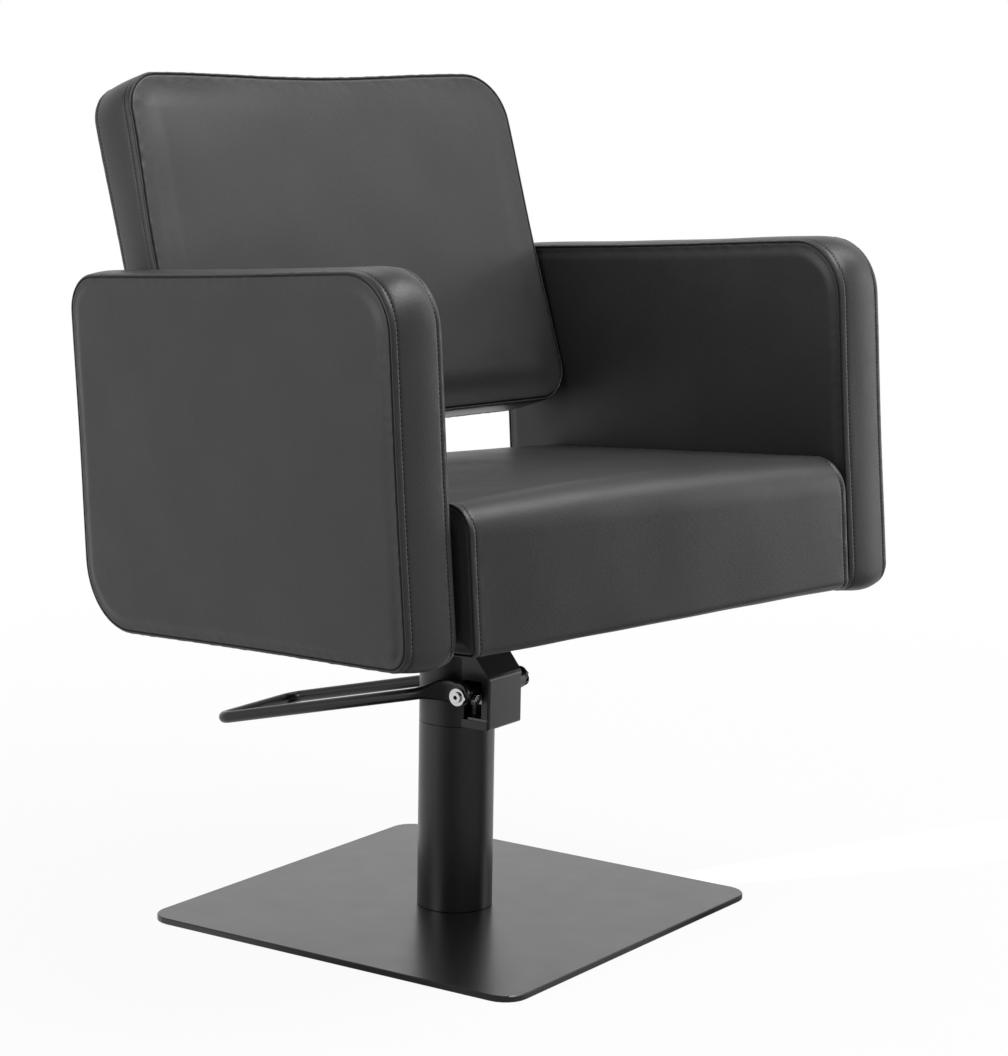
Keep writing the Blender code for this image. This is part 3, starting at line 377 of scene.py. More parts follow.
def leatherette():
    """Soft coated fabric with a fine pebble grain, and painted shade in its seams and along its topstitch.
    """
    shader = Shader("leatherette_look")
    spot = shader.place()
    shade = shader.spread(shader.noise(spot, scale=14.0, detail=4.0), 0.0, 1.0)
    colour = shader.blend(shade, grey(0.044, (1.0, 0.99, 0.99)), grey(0.050, (1.0, 1.0, 0.99)))
    pebble = shader.cells(spot, scale=780.0)
    speck = shader.ramp(pebble, low=0.15, high=0.75, dark=1.06, light=0.86)
    colour = shader.blend(1.0, colour, speck, "MULTIPLY")
    # Painted shade: the seam attribute darkens the colour in the seam grooves, on the lip and along the
    # topstitch
    seam = shader.add("ShaderNodeAttribute", attribute_name="seam").outputs["Fac"]
    colour = shader.blend(seam, colour, grey(0.006))
    sheen = shader.spread(shader.noise(spot, scale=45.0, detail=5.0, roughness=0.6), 0.39, 0.45)
    creases = shader.noise(spot, scale=320.0, detail=6.0, roughness=0.65)
    lower = shader.bump(creases, strength=0.16, distance=0.0006)
    grain = shader.bump(pebble, strength=0.30, distance=0.00035, below=lower)
    shader.set(Base_Color=colour, Roughness=sheen, Normal=grain, Specular_IOR_Level=0.42)
    return shader.material


def thread():
    """Waxed black sewing thread."""
    shader = Shader("thread_look")
    twist = shader.noise(shader.place(), scale=2600.0, detail=2.0)
    colour = shader.blend(twist, grey(0.003), grey(0.009))
    fibres = shader.bump(twist, strength=0.4, distance=0.0002)
    shader.set(Base_Color=colour, Roughness=0.75, Normal=fibres, Specular_IOR_Level=0.15)
    return shader.material


def powder_coat(name, smooth, rough, coat, coat_roughness):
    """Satin black powder coat with a fine orange peel."""
    shader = Shader(name)
    spot = shader.place()
    cloud = shader.spread(shader.noise(spot, scale=9.0), 0.0, 1.0)
    colour = shader.blend(cloud, grey(0.0105), grey(0.0145))
    peel = shader.noise(spot, scale=620.0, roughness=0.55)
    specks = shader.noise(spot, scale=2400.0, detail=2.0)
    fleck = shader.ramp(specks, low=0.62, high=0.78, dark=0.0, light=0.22)
    colour = shader.blend(fleck, colour, grey(0.045))
    gloss = shader.spread(shader.noise(spot, scale=30.0, detail=4.0), smooth, rough)
    shader.set(Base_Color=colour, Roughness=gloss, Normal=shader.bump(peel, strength=0.10, distance=0.0004))
    shader.set(Specular_IOR_Level=0.6, Coat_Weight=coat, Coat_Roughness=coat_roughness)
    return shader.material


def bar_paint():
    """Smoother black paint of the pedal, a little rubbed."""
    shader = Shader("bar_black_look")
    spot = shader.place()
    wear = shader.noise(spot, scale=55.0, detail=6.0, roughness=0.65)
    rub = shader.ramp(wear, low=0.55, high=0.8, dark=0.0, light=1.0)
    colour = shader.blend(rub, grey(0.009), grey(0.018))
    gloss = shader.ramp(rub, low=0.0, high=1.0, dark=0.30, light=0.42)
    peel = shader.noise(spot, scale=420.0, detail=2.0)
    shader.set(Base_Color=colour, Roughness=gloss, Normal=shader.bump(peel, strength=0.07, distance=0.0004))
    return shader.material


def metal(name, dark, light, smooth, rough, scale, stretch=(1, 1, 1)):
    """Bare metal with fine tool marks along one direction."""
    shader = Shader(name)
    marks = shader.noise(shader.place(stretch), scale, detail=5.0, roughness=0.6)
    cloud = shader.noise(shader.place(), scale=60.0)
    colour = shader.blend(cloud, dark, light)
    gloss = shader.spread(marks, smooth, rough)
    scratches = shader.bump(marks, strength=0.06, distance=0.0002)
    shader.set(Base_Color=colour, Roughness=gloss, Normal=scratches, Metallic=1.0)
    return shader.material


def plywood():
    """Birch plywood: veneer edges in its thickness, long grain on its faces."""
    shader = Shader("plywood_look")
    values = {"Vector": shader.place(), "Scale": 115.0, "Distortion": 1.2, "Detail": 2.0}
    layers = shader.add("ShaderNodeTexWave", values, bands_direction="Z").outputs["Fac"]
    grain = shader.noise(shader.place(LONG_GRAIN), scale=9.0, detail=8.0, roughness=0.65)
    colour = shader.blend(layers, grey(0.30, (1.0, 0.72, 0.44)), grey(0.46, (1.0, 0.78, 0.52)))
    streaks = shader.ramp(grain, low=0.35, high=0.7, dark=0.0, light=0.6)
    colour = shader.blend(streaks, colour, grey(0.20, (1.0, 0.66, 0.38)))
    shader.set(Base_Color=colour, Roughness=0.7, Normal=shader.bump(grain, strength=0.2, distance=0.0004))
    return shader.material


LOOKS = {
    "leatherette": leatherette(),
    "powder_black": powder_coat("powder_black_look", smooth=0.29, rough=0.35, coat=0.0, coat_roughness=0.3),
    "plate_coat": powder_coat("plate_coat_look", smooth=0.30, rough=0.34, coat=0.35, coat_roughness=0.23),
    "bar_black": bar_paint(),
    "chrome": metal("chrome_look", grey(0.74), grey(0.82), smooth=0.07, rough=0.16, scale=300.0),
    # Painted shade: a near-black finish inside the screws' sockets, deep holes that lie in shade
    "socket": metal("socket_painted_shade_look", grey(0.010), grey(0.016), smooth=0.45, rough=0.6, scale=300.0),
    "oiled_steel": metal("oiled_steel_look", grey(0.09), grey(0.14), smooth=0.30, rough=0.45, scale=4.0,
                         stretch=TURNED),
    "steel": metal("steel_look", grey(0.36), grey(0.46), smooth=0.28, rough=0.42, scale=4.0, stretch=TURNED),
    "bronze": metal("bronze_look", BRONZE_DARK, BRONZE_LIGHT, smooth=0.34, rough=0.5, scale=500.0),
    "plywood": plywood(),
}
THREAD = thread()


# Objects

def add_object(name, data):
    made = bpy.data.objects.new(name, data)
    bpy.context.scene.collection.objects.link(made)
    return made


def mesh_object(name, points, faces, matrix, material):
    mesh = bpy.data.meshes.new(name)
    mesh.from_pydata(points.tolist(), [], faces)
    mesh.shade_smooth()
    mesh.update()
    made = add_object(name, mesh)
    made.matrix_world = matrix
    mesh.materials.append(material)
    return made


def shape_object(name, shape, looks):
    """An object from an edited shape, which is used up by it."""
    mesh = bpy.data.meshes.new(name)
    shape.to_mesh(mesh)
    shape.free()
    for look in looks:
        mesh.materials.append(look)
    mesh.shade_smooth()
    return add_object(name, mesh)


# Curves

def smooth_step(share):
    """Goes from 0 to 1 and is level at both ends."""
    return share * share * (3 - 2 * share)


def smoother_step(share):
    """Goes from 0 to 1 and is level and unbent at both ends."""
    return share ** 3 * (10 - 15 * share + 6 * share ** 2)


# Upholstery

def moved_corners(corners, out):
    """Corners of an outline after every side has moved out."""
    after = np.roll(corners, -1, 0) - corners
    normals = np.stack([after[:, 1], -after[:, 0]], 1)
    normals /= np.linalg.norm(normals, axis=1)[:, None]
    before = np.roll(normals, 1, 0)
    moved = []
    for corner, first, second in zip(corners, before, normals):
        reach = np.array([first @ corner + out, second @ corner + out])
        moved.append(np.linalg.solve(np.array([first, second]), reach))
    return np.array(moved)


class Form:
    """The two seam outlines of a boxed cushion, anticlockwise, and the counts of points along them.

    The upper seam lies at positive depth and the lower one at negative depth.
    """

    def __init__(self, upper, lower=None):
        self.upper = [np.array(values, float) for values in upper]
        self.lower = [np.array(values, float) for values in lower or upper]
        self.corners = (self.upper[0] + self.lower[0]) / 2
        runs = np.linalg.norm(np.roll(self.corners, -1, 0) - self.corners, axis=1)
        counts = [int(run / SPACING) for run in runs]
        self.steps = [max(counts[i], counts[(i + 2) % 4]) for i in range(4)]
        self.side_points = [CORNER_STEPS + step + 1 for step in self.steps]

    def ring(self, out, lean):
        """Points of the outline moved out, from the lower seam at lean -1 to the upper seam at lean 1.

        The first point is in the middle of the first corner.
        """
        share = (1 + lean) / 2
        corners, radii, pulls = [share * upper + (1 - share) * lower
                                 for upper, lower in zip(self.upper, self.lower)]
        corners = moved_corners(corners, out)
        radii = np.maximum(radii + out, LEAST_RADIUS)
        arcs = []
        for index in range(4):
            corner = corners[index]
            before = corners[index - 1] - corner
            after = corners[(index + 1) % 4] - corner
            before /= np.linalg.norm(before)
            after /= np.linalg.norm(after)
            half = np.arccos(np.clip(before @ after, -1, 1)) / 2
            middle = (before + after) / np.linalg.norm(before + after)
            centre = corner + middle * radii[index] / sin(half)
            first = corner + before * radii[index] / np.tan(half) - centre
            angles = (pi - 2 * half) * np.arange(CORNER_STEPS + 1) / CORNER_STEPS
            turned = np.stack([first[0] * np.cos(angles) - first[1] * np.sin(angles),
                               first[0] * np.sin(angles) + first[1] * np.cos(angles)], 1)
            arcs.append(centre + turned)
        points = []
        for index in range(4):
            start = arcs[index][-1]
            run = arcs[(index + 1) % 4][0] - start
            shares = np.arange(1, self.steps[index] + 1) / (self.steps[index] + 1)
            normal = np.array([run[1], -run[0]]) / np.linalg.norm(run)
            pull = pulls[index] * np.sin(pi * shares) ** 2
            points.append(arcs[index])
            points.append(start + shares[:, None] * run - pull[:, None] * normal)
        return np.roll(np.concatenate(points), -(CORNER_STEPS // 2), 0)

    def depths(self, points):
        """How far points lie from each of the four sides."""
        after = np.roll(self.corners, -1, 0) - self.corners
        inward = np.stack([-after[:, 1], after[:, 0]], 1)
        inward /= np.linalg.norm(inward, axis=1)[:, None]
        return np.stack([(points - corner) @ normal for corner, normal in zip(self.corners, inward)])

    def between(self, points, values):
        """Values given for the four sides, blended by how near each side is."""
        shares = 1 / (np.maximum(self.depths(points), 0.0) + SIDE_BLEND) ** 2
        return values @ shares / shares.sum(0)

    def fullness(self, points):
        """1 in the middle of a face and 0 along its seam."""
        away = self.depths(points)
        across = np.abs((away[3] - away[1]) / (away[3] + away[1]))
        along = np.abs((away[0] - away[2]) / (away[0] + away[2]))
        share = (across ** CROWN_BLEND + along ** CROWN_BLEND) ** (1 / CROWN_BLEND)
        return 1 - np.minimum(share, 1.0) ** CROWN_POWER


def normals_of(points):
    along = np.roll(points, -1, 0) - np.roll(points, 1, 0)
    normals = np.stack([along[:, 1], -along[:, 0]], 1)
    return normals / np.linalg.norm(normals, axis=1)[:, None]


def ring_sides(ring, sides):
    """The low, right, high and left side of a closed ring, each from the left or from below."""
    ends = np.cumsum(sides)
    low = ring[:sides[0] + 1]
    right = ring[ends[0]:ends[1] + 1]
    high = ring[ends[1]:ends[2] + 1][::-1]
    left = np.concatenate([ring[ends[2]:], ring[:1]])[::-1]
    return low, right, high, left


def patch(ring, sides):
    """Points inside a ring on a grid, as rows between the ring's first and third side."""
    low, right, high, left = ring_sides(ring, sides)
    s = (np.arange(sides[0] + 1) / sides[0])[None, :, None]
    t = (np.arange(sides[1] + 1) / sides[1])[:, None, None]
    edges = (1 - t) * low[None] + t * high[None] + (1 - s) * left[:, None] + s * right[:, None]
    corners = ((1 - s) * (1 - t) * low[0] + s * (1 - t) * low[-1] + (1 - s) * t * high[0] + s * t * high[-1])
    return edges - corners


def waves(points, length, seed):
    """Soft random hills, the same in every run."""
    draw = np.random.default_rng(seed)
    total = np.zeros(len(points))
    for _ in range(WAVES):
        direction = draw.normal(size=3)
        direction /= np.linalg.norm(direction)
        turns = 2 * pi / (length * draw.uniform(*WAVE_SPREAD))
        total += np.sin(points @ direction * turns + draw.uniform(0, 2 * pi))
    return total / sqrt(WAVES)


def face_rise(inset, roll, swell):
    """Rise of a face beside its seam: a tight edge, a flat run, then the swell of the padding."""
    left = 1 - min(max(inset - FACE_START, 0.0) / roll.edge_width, 1.0)
    share = min(max((inset - roll.swell_start) / (roll.swell_end - roll.swell_start), 0.0), 1.0)
    return roll.edge_height * sqrt(1 - left * left) + swell * roll.swell_height * smoother_step(share)


def edge_stand(step):
    """How far a border stands out beside its seam: a ridge up to the topstitch, which pulls it in."""
    share = min(step / STITCH_INSET, 1.0)
    dip = STITCH_DIP * np.exp(-((step - STITCH_INSET) / STITCH_DIP_WIDTH) ** 2)
    return SEAM_SET + 4 * RIDGE_HEIGHT * share * (1 - share) - dip


# Painted shade in the colour along the topstitch line
def edge_shade(step):
    return STITCH_SHADE * np.exp(-((step - STITCH_INSET) / STITCH_SHADE_WIDTH) ** 2)


def edge_section(half):
    """The border's half section from its seam inwards, as rows of depth, stand and painted shade."""
    rows = [(half - SEAM_CUT, -GROOVE_INSET, 1.0)]
    for angle, shade in zip(LIP_ANGLES, LIP_SHADES):
        stand = SEAM_SET - LIP_RADIUS + LIP_RADIUS * cos(radians(angle))
        depth = half + LIP_RISE - LIP_RADIUS + LIP_RADIUS * sin(radians(angle))
        rows.append((depth, stand, shade))
    return rows + [(half - step, edge_stand(step), edge_shade(step)) for step in EDGE_STEPS]


def thread_line(line, outward):
    """A row of stitches along a closed line: short beads whose ends dive into the cover."""
    closed = np.concatenate([line, line[:1]])
    ups = np.concatenate([outward, outward[:1]])
    along = np.concatenate([[0.0], np.cumsum(np.linalg.norm(np.diff(closed, axis=0), axis=1))])

    def taken(spots, values):
        return np.stack([np.interp(spots, along, values[:, axis]) for axis in range(3)], 1)

    count = int(round(along[-1] / STITCH_PITCH))
    centres = (np.arange(count) + 0.5) * along[-1] / count
    stations = np.linspace(-1, 1, THREAD_STATIONS)
    spots = (centres[:, None] + stations[None] * STITCH_LENGTH / 2).ravel()
    places = taken(spots, closed)
    up = taken(spots, ups)
    up /= np.linalg.norm(up, axis=1)[:, None]
    tangent = taken(spots + THREAD_REACH, closed) - taken(spots - THREAD_REACH, closed)
    tangent /= np.linalg.norm(tangent, axis=1)[:, None]
    side = np.cross(tangent, up)
    share = np.tile(stations, count)
    lift = STITCH_LIFT * (1 - STITCH_DIVE * share ** 2)
    radius = STITCH_RADIUS * np.sqrt(1 - STITCH_TAPER * share ** 2)
    places = places + up * lift[:, None]
    angles = np.arange(THREAD_SIDES) * 2 * pi / THREAD_SIDES
    wide = np.cos(angles)[None, :, None] * side[:, None]
    high = np.sin(angles)[None, :, None] * up[:, None]
    rings = places[:, None] + radius[:, None, None] * (wide + high)
    points = rings.reshape(-1, 3)
    start = np.arange(count) * THREAD_STATIONS * THREAD_SIDES
    quads = []
    for station in range(THREAD_STATIONS - 1):
        for corner in range(THREAD_SIDES):
            here = start + station * THREAD_SIDES + corner
            beside = start + station * THREAD_SIDES + (corner + 1) % THREAD_SIDES
            quads.append(np.stack([here, here + THREAD_SIDES, beside + THREAD_SIDES, beside], 1))
    return points, np.concatenate(quads)


class Cushion:
    """A boxed cushion: two crowned faces, a border between them, seams and topstitching."""

    def __init__(self, name, form, half, crowns, rolls, bulge, place, matrix, seed, swells=(1, 1, 1, 1)):
        self.name = name
        self.form = form
        self.half = half
        self.bulge = bulge
        self.swells = np.array(swells, float)
        self.place = place
        self.matrix = matrix
        self.seed = seed
        self.points = []
        self.faces = []
        self.shades = []
        self.normals = normals_of(form.ring(0.0, 0.0))
        rows = self.face_rows(1, crowns[0], rolls[0])
        rows += [self.border_row(*row) for row in self.section()]
        rows += self.face_rows(-1, crowns[1], rolls[1])[::-1]
        for upper, lower in zip(rows, rows[1:]):
            self.faces.append(np.stack([upper, np.roll(upper, -1), np.roll(lower, -1), lower], 1))
        self.fill(rows[0], 1, crowns[0], rolls[0])
        self.fill(rows[-1], -1, crowns[1], rolls[1])

    def section(self):
        """Rows of the whole border, from one seam to the other."""
        edge = edge_section(self.half)
        inner = edge[-1][0]
        count = max(2, int(2 * inner / BORDER_SPACING))
        middle = [(depth, SEAM_SET, 0.0) for depth in np.linspace(inner, -inner, count + 1)[1:-1]]
        return edge + middle + [(-depth, stand, shade) for depth, stand, shade in edge[::-1]]

    def add_row(self, flat, depth, shade):
        points = np.array([self.place(u, v, d) for (u, v), d in zip(flat, depth)])
        first = sum(len(part) for part in self.points)
        self.points.append(points)
        self.shades.append(np.full(len(points), shade))
        return np.arange(first, first + len(points))

    def face_rows(self, sign, crown, roll):
        """Rows of a face beside its seam, from the innermost one outwards."""
        # Painted shade on the face's rows nearest the seam
        shades = FACE_SHADES + (0.0,) * len(FACE_INSETS)
        rows = []
        for inset, shade in list(zip(FACE_INSETS, shades))[::-1]:
            flat = self.form.ring(-inset, sign)
            depth = sign * (self.half + self.face_lift(flat, inset, crown, roll, sign))
            rows.append(self.add_row(flat, depth, shade))
        return rows

    def face_lift(self, flat, inset, crown, roll, sign):
        """How far a face stands out of its seam's plane, with its lumps and puckers."""
        rest = np.stack([flat[:, 0], flat[:, 1], np.full(len(flat), sign * self.half)], 1)
        swell = self.form.between(flat, self.swells)
        lift = face_rise(inset, roll, swell) + crown * self.form.fullness(flat)
        lift = lift + min(1.0, inset / LUMP_EASE) * LUMP_HEIGHT * waves(rest, LUMP_WAVE, self.seed)
        return lift + self.pucker(rest, inset)

    def pucker(self, rest, away):
        fade = np.exp(-away / PUCKER_REACH) * min(1.0, away / PUCKER_EASE)
        return PUCKER_HEIGHT * fade * waves(rest, PUCKER_WAVE, self.seed + 1)

    def border_points(self, depth, stand):
        """A border row in the cushion's flat plane, with its bulge, lumps and puckers."""
        away = max(0.0, self.half - abs(depth))
        flat = self.form.ring(stand, depth / self.half)
        rest = np.stack([flat[:, 0], flat[:, 1], np.full(len(flat), depth)], 1)
        swell = self.bulge(self.normals) * max(0.0, 1 - (depth / self.half) ** 2)
        swell = swell + min(1.0, away / LUMP_EASE) * LUMP_HEIGHT * waves(rest, LUMP_WAVE, self.seed + 2)
        swell = swell + self.pucker(rest, away)
        return flat + self.normals * swell[:, None]

    def border_row(self, depth, stand, shade):
        flat = self.border_points(depth, stand)
        return self.add_row(flat, np.full(len(flat), depth), shade)

    def fill(self, ring, sign, crown, roll):
        """The grid inside a face's innermost row."""
        inset = FACE_INSETS[-1]
        grid = patch(self.form.ring(-inset, sign), self.form.side_points)
        rows, columns = grid.shape[:2]
        numbers = np.zeros((rows, columns), int)
        inner = grid[1:-1, 1:-1].reshape(-1, 2)
        depth = sign * (self.half + self.face_lift(inner, inset, crown, roll, sign))
        numbers[1:-1, 1:-1] = self.add_row(inner, depth, 0.0).reshape(rows - 2, columns - 2)
        numbers[0], numbers[:, -1], numbers[-1], numbers[:, 0] = ring_sides(ring, self.form.side_points)
        quads = np.stack([numbers[:-1, :-1], numbers[:-1, 1:], numbers[1:, 1:], numbers[1:, :-1]], -1)
        self.faces.append(quads.reshape(-1, 4)[:, ::-sign])

    def build(self, body):
        points = np.concatenate(self.points)
        faces = np.concatenate(self.faces).tolist()
        made = mesh_object(self.name, points, faces, self.matrix, LOOKS["leatherette"])
        # The seam attribute holds painted shade for the seams and the topstitch, read by the leatherette
        # look
        shade = made.data.attributes.new("seam", "FLOAT", "POINT")
        shade.data.foreach_set("value", np.concatenate(self.shades).astype(np.float32))
        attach(made, body)
        self.stitch(body)
        return made

    def stitch(self, body):
        """Thread of the topstitching along both seams of the border."""
        outward = np.array([self.place(*normal, 0.0) for normal in self.normals]) - self.place(0.0, 0.0, 0.0)
        points = []
        faces = []
        for sign in (1, -1):
            depth = sign * (self.half - STITCH_INSET)
            flat = self.border_points(depth, edge_stand(STITCH_INSET))
            line = np.array([self.place(u, v, depth) for u, v in flat])
            base = sum(len(part) for part in points)
            made, joined = thread_line(line, outward)
            points.append(made)
            faces.append(joined + base)
        points = np.concatenate(points)
        faces = np.concatenate(faces).tolist()
        stitches = mesh_object(self.name + "_topstitch", points, faces, self.matrix, THREAD)
        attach(stitches, body)


def seat_corners(front_top):
    return [(SEAT_FRONT, 0.0), (SEAT_REAR, 0.0), (SEAT_REAR, SEAT_THICKNESS), (SEAT_FRONT, front_top)]


def seat_cushion():
    right = Outline(seat_corners(SEAT_THICKNESS), SEAT_RADII_RIGHT, SEAT_PULLS)
    left = Outline(seat_corners(SEAT_THICKNESS + SEAT_LEFT_RISE), SEAT_RADII_LEFT, SEAT_PULLS)

    def bulge(normals):
        up = np.maximum(0.0, normals[:, 1])
        level = np.where(normals[:, 1] < SEAT_UNDERSIDE, 0.0, np.abs(normals[:, 0]))
        return SEAT_TOP_BULGE * up ** 2 + SEAT_FRONT_BULGE * level ** 2

    def place(u, v, depth):
        return (depth, u, v)

    cushion = Cushion("seat_upholstery", Form(right, left), SEAT_HALF_WIDTH, (SEAT_CROWN, SEAT_CROWN),
                      (SEAT_ROLL, SEAT_ROLL), bulge, place, SEAT, SEAT_SEED)
    made = cushion.build("seat")
    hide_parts("seat_cushion")


def arm_cushion(side, sign):
    corners = [(0.0, ARM_BOTTOM_FRONT), (ARM_LENGTH, ARM_BOTTOM_REAR), (ARM_LENGTH, ARM_TOP), (0.0, ARM_TOP)]
    form = Form(Outline(corners, ARM_RADII, ARM_PULLS))
    middle = sign * ARM_THICKNESS / 2
    crowns = (ARM_OUTER_CROWN, ARM_INNER_CROWN)[::sign]
    rolls = (ARM_OUTER_ROLL, ARM_INNER_ROLL)[::sign]

    def bulge(normals):
        corner = 2 * normals[:, 0] * normals[:, 1]
        return ARM_BULGE + ARM_CORNER_BULGE * corner ** 2

    def place(u, v, depth):
        return (middle + depth, u, v)

    spot = Matrix.Translation((sign * ARM_INNER, ARM_FRONT, 0))
    matrix = SEAT @ spot @ Matrix.Rotation(sign * ARM_TOE, 4, "Z")
    cushion = Cushion(f"arm_upholstery_{side}", form, ARM_THICKNESS / 2, crowns, rolls, bulge, place, matrix,
                      ARM_SEED + sign)
    made = cushion.build("seat")
    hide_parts(f"arm_cushion_{side}")


def backrest():
    corners = [(-BACK_HALF_BOTTOM, BACK_BOTTOM), (BACK_HALF_BOTTOM, BACK_BOTTOM),
               (BACK_HALF_TOP, BACK_TOP + BACK_RIGHT_SLACK), (-BACK_HALF_TOP, BACK_TOP + BACK_LEFT_SLACK)]
    front = Outline(corners, BACK_RADII, BACK_FRONT_PULLS)
    rear = Outline(corners, BACK_RADII, BACK_REAR_PULLS)
    crowns = (BACK_FRONT_CROWN, BACK_REAR_CROWN)
    rolls = (BACK_FRONT_ROLL, BACK_REAR_ROLL)

    def bulge(normals):
        return BACK_BULGE + BACK_SIDE_BULGE * normals[:, 0] ** 2

    def place(u, v, depth):
        return (u, BACK_THICKNESS / 2 - depth, v)

    cushion = Cushion("backrest_upholstery", Form(front, rear), BACK_THICKNESS / 2, crowns, rolls, bulge,
                      place, BACK, BACK_SEED, BACK_SWELLS)
    made = cushion.build("seat")
    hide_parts("backrest_cushion")


seat_cushion()
for side, sign in SIDES.items():
    arm_cushion(side, sign)
backrest()


# Lever head

def bar_line(side, sign):
    """Centre line of one side of the pedal, from its flattened end to the end bar, with its half sizes."""
    eye = SHAFT_ENDS[side] + FIT + EYE_THICKNESS / 2
    end = BAR_ENDS[side]
    flat = BAR_FLAT_HEIGHTS[side]
    half_eye = EYE_RADIUS / 2
    half_thickness = EYE_THICKNESS / 2
    tip = -end * np.cos(np.linspace(BAR_TIP_START, 1, BAR_TIP_ROWS) * pi / 2)
    bend = np.linspace(BAR_BEND_START, PEDAL_BEND, BAR_BEND_ROWS)
    rows = []
    for back in np.concatenate([tip, bend]):
        share = max(0.0, (back - half_eye) / (PEDAL_BEND - half_eye))
        across = sign * (eye + (PEDAL_HALF_WIDTH - eye) * smooth_step(share))
        level = PEDAL_RISE - max(back, half_eye) * tan(PEDAL_SLOPE)
        level = level - (PEDAL_RISE / 2) * (1 - share) ** BAR_DROP_POWER
        round_share = (back - BAR_FLAT_START) / (BAR_FLAT_END - BAR_FLAT_START)
        swell = smooth_step(min(1.0, max(0.0, round_share)))
        tall = flat + (BAR_RADIUS - flat) * swell
        if back < 0:
            tall *= sqrt(1 - (back / end) ** 2)
        thin = half_thickness + (BAR_RADIUS - half_thickness) * swell
        rows.append((across, back, level, thin, tall))
    for angle in np.linspace(0, pi / 2, BAR_CORNER_ROWS):
        across = sign * (PEDAL_HALF_WIDTH - PEDAL_CORNER * (1 - cos(angle)))
        back = PEDAL_LENGTH - PEDAL_CORNER * (1 - sin(angle))
        rows.append((across, back, PEDAL_RISE - back * tan(PEDAL_SLOPE), BAR_RADIUS, BAR_RADIUS))
    return rows


def squared(values, power):
    """Values of a sine or cosine round a section, pushed out towards a square one."""
    return np.sign(values)[None, :, None] * np.abs(values)[None, :, None] ** power


def pedal_bar():
    """The bent bar of the pedal: round along its length, forged flat and tall round the shaft."""
    rows = np.array(bar_line("left", -1) + bar_line("right", 1)[::-1])
    line = rows[:, :3]
    thin = rows[:, 3][:, None, None]
    tall = rows[:, 4][:, None, None]
    tangent = np.gradient(line, axis=0)
    tangent /= np.linalg.norm(tangent, axis=1)[:, None]
    side = np.cross(tangent, (0.0, 0.0, 1.0))
    side /= np.linalg.norm(side, axis=1)[:, None]
    up = np.cross(side, tangent)
    angles = np.arange(BAR_SIDES) * 2 * pi / BAR_SIDES
    power = (BAR_RADIUS / np.maximum(tall, BAR_RADIUS)) ** BAR_SQUARENESS
    wide = squared(np.cos(angles), power)
    high = squared(np.sin(angles), power)
    rings = line[:, None] + thin * wide * side[:, None] + tall * high * up[:, None]
    numbers = np.arange(len(rows) * BAR_SIDES).reshape(len(rows), BAR_SIDES)
    after = np.roll(numbers, -1, 1)
    faces = np.stack([numbers[:-1], after[:-1], after[1:], numbers[1:]], -1).reshape(-1, 4).tolist()
    faces += [numbers[0][::-1].tolist(), numbers[-1].tolist()]
    made = mesh_object("pedal_bar_forged", rings.reshape(-1, 3), faces, LEVER, LOOKS["bar_black"])
    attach(made, "pedal")
    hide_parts("pedal_bar")


def every_edge(edge):
    return True


def edged_copy(node, name, body, folds, looks):
    """A copy of a rigid piece whose sharp edges are rounded, each by the width that folds gives it."""
    shape = bmesh.new()
    shape.from_mesh(frame["nodes"][node].data)
    bmesh.ops.remove_doubles(shape, verts=shape.verts, dist=SAME_SPOT)
    bmesh.ops.dissolve_limit(shape, angle_limit=FLAT_EDGE, verts=shape.verts, edges=shape.edges)
    for width, chosen in folds:
        edges = [edge for edge in shape.edges if edge.calc_face_angle(0.0) > SHARP_EDGE and chosen(edge)]
        bmesh.ops.bevel(shape, geom=edges, offset=width, segments=RIM_STEPS, profile=RIM_PROFILE,
                        affect="EDGES", clamp_overlap=True)
    made = shape_object(name, shape, looks)
    made.data.set_sharp_from_angle(angle=SHARP_EDGE)
    made.modifiers.new("flat_faces", "WEIGHTED_NORMAL").keep_sharp = True
    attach(made, body)
    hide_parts(node)
    return made


def lever_cover():
    """The sheet cover with its bent front corners and fine rims."""
    to_base = BASE.inverted()

    def front_corner(edge):
        spots = [to_base @ vertex.co for vertex in edge.verts]
        in_front = all(abs(spot.y + COVER_FRONT) < FIT for spot in spots)
        return in_front and all(abs(abs(spot.x) - COVER_HALF_WIDTH) < FIT for spot in spots)

    def outer_edge(edge):
        return any(abs((to_base @ vertex.co).y + COVER_FRONT) < COVER_SHEET / 2 for vertex in edge.verts)

    folds = ((COVER_BEND, front_corner), (COVER_RIM, outer_edge))
    edged_copy("lever_cover", "lever_cover_folded", "base", folds, [LOOKS["powder_black"]])


def shaft_screw(side, sign):
    """A polished screw with painted shade in its socket."""
    made = edged_copy(f"shaft_screw_{side}", f"shaft_screw_{side}_polished", "pedal",
                      ((SCREW_RIM, every_edge),), [LOOKS["chrome"], LOOKS["socket"]])
    to_lever = LEVER.inverted()
    for face in made.data.polygons:
        spots = [to_lever @ made.data.vertices[index].co for index in face.vertices]
        beside = max(sqrt(spot.y ** 2 + spot.z ** 2) for spot in spots)
        outside = sign * spots[0].x > SHAFT_ENDS[side] + EYE_THICKNESS
        # The socket's faces get the painted shade
        face.material_index = int(outside and beside < SOCKET_RADIUS + SCREW_RIM)


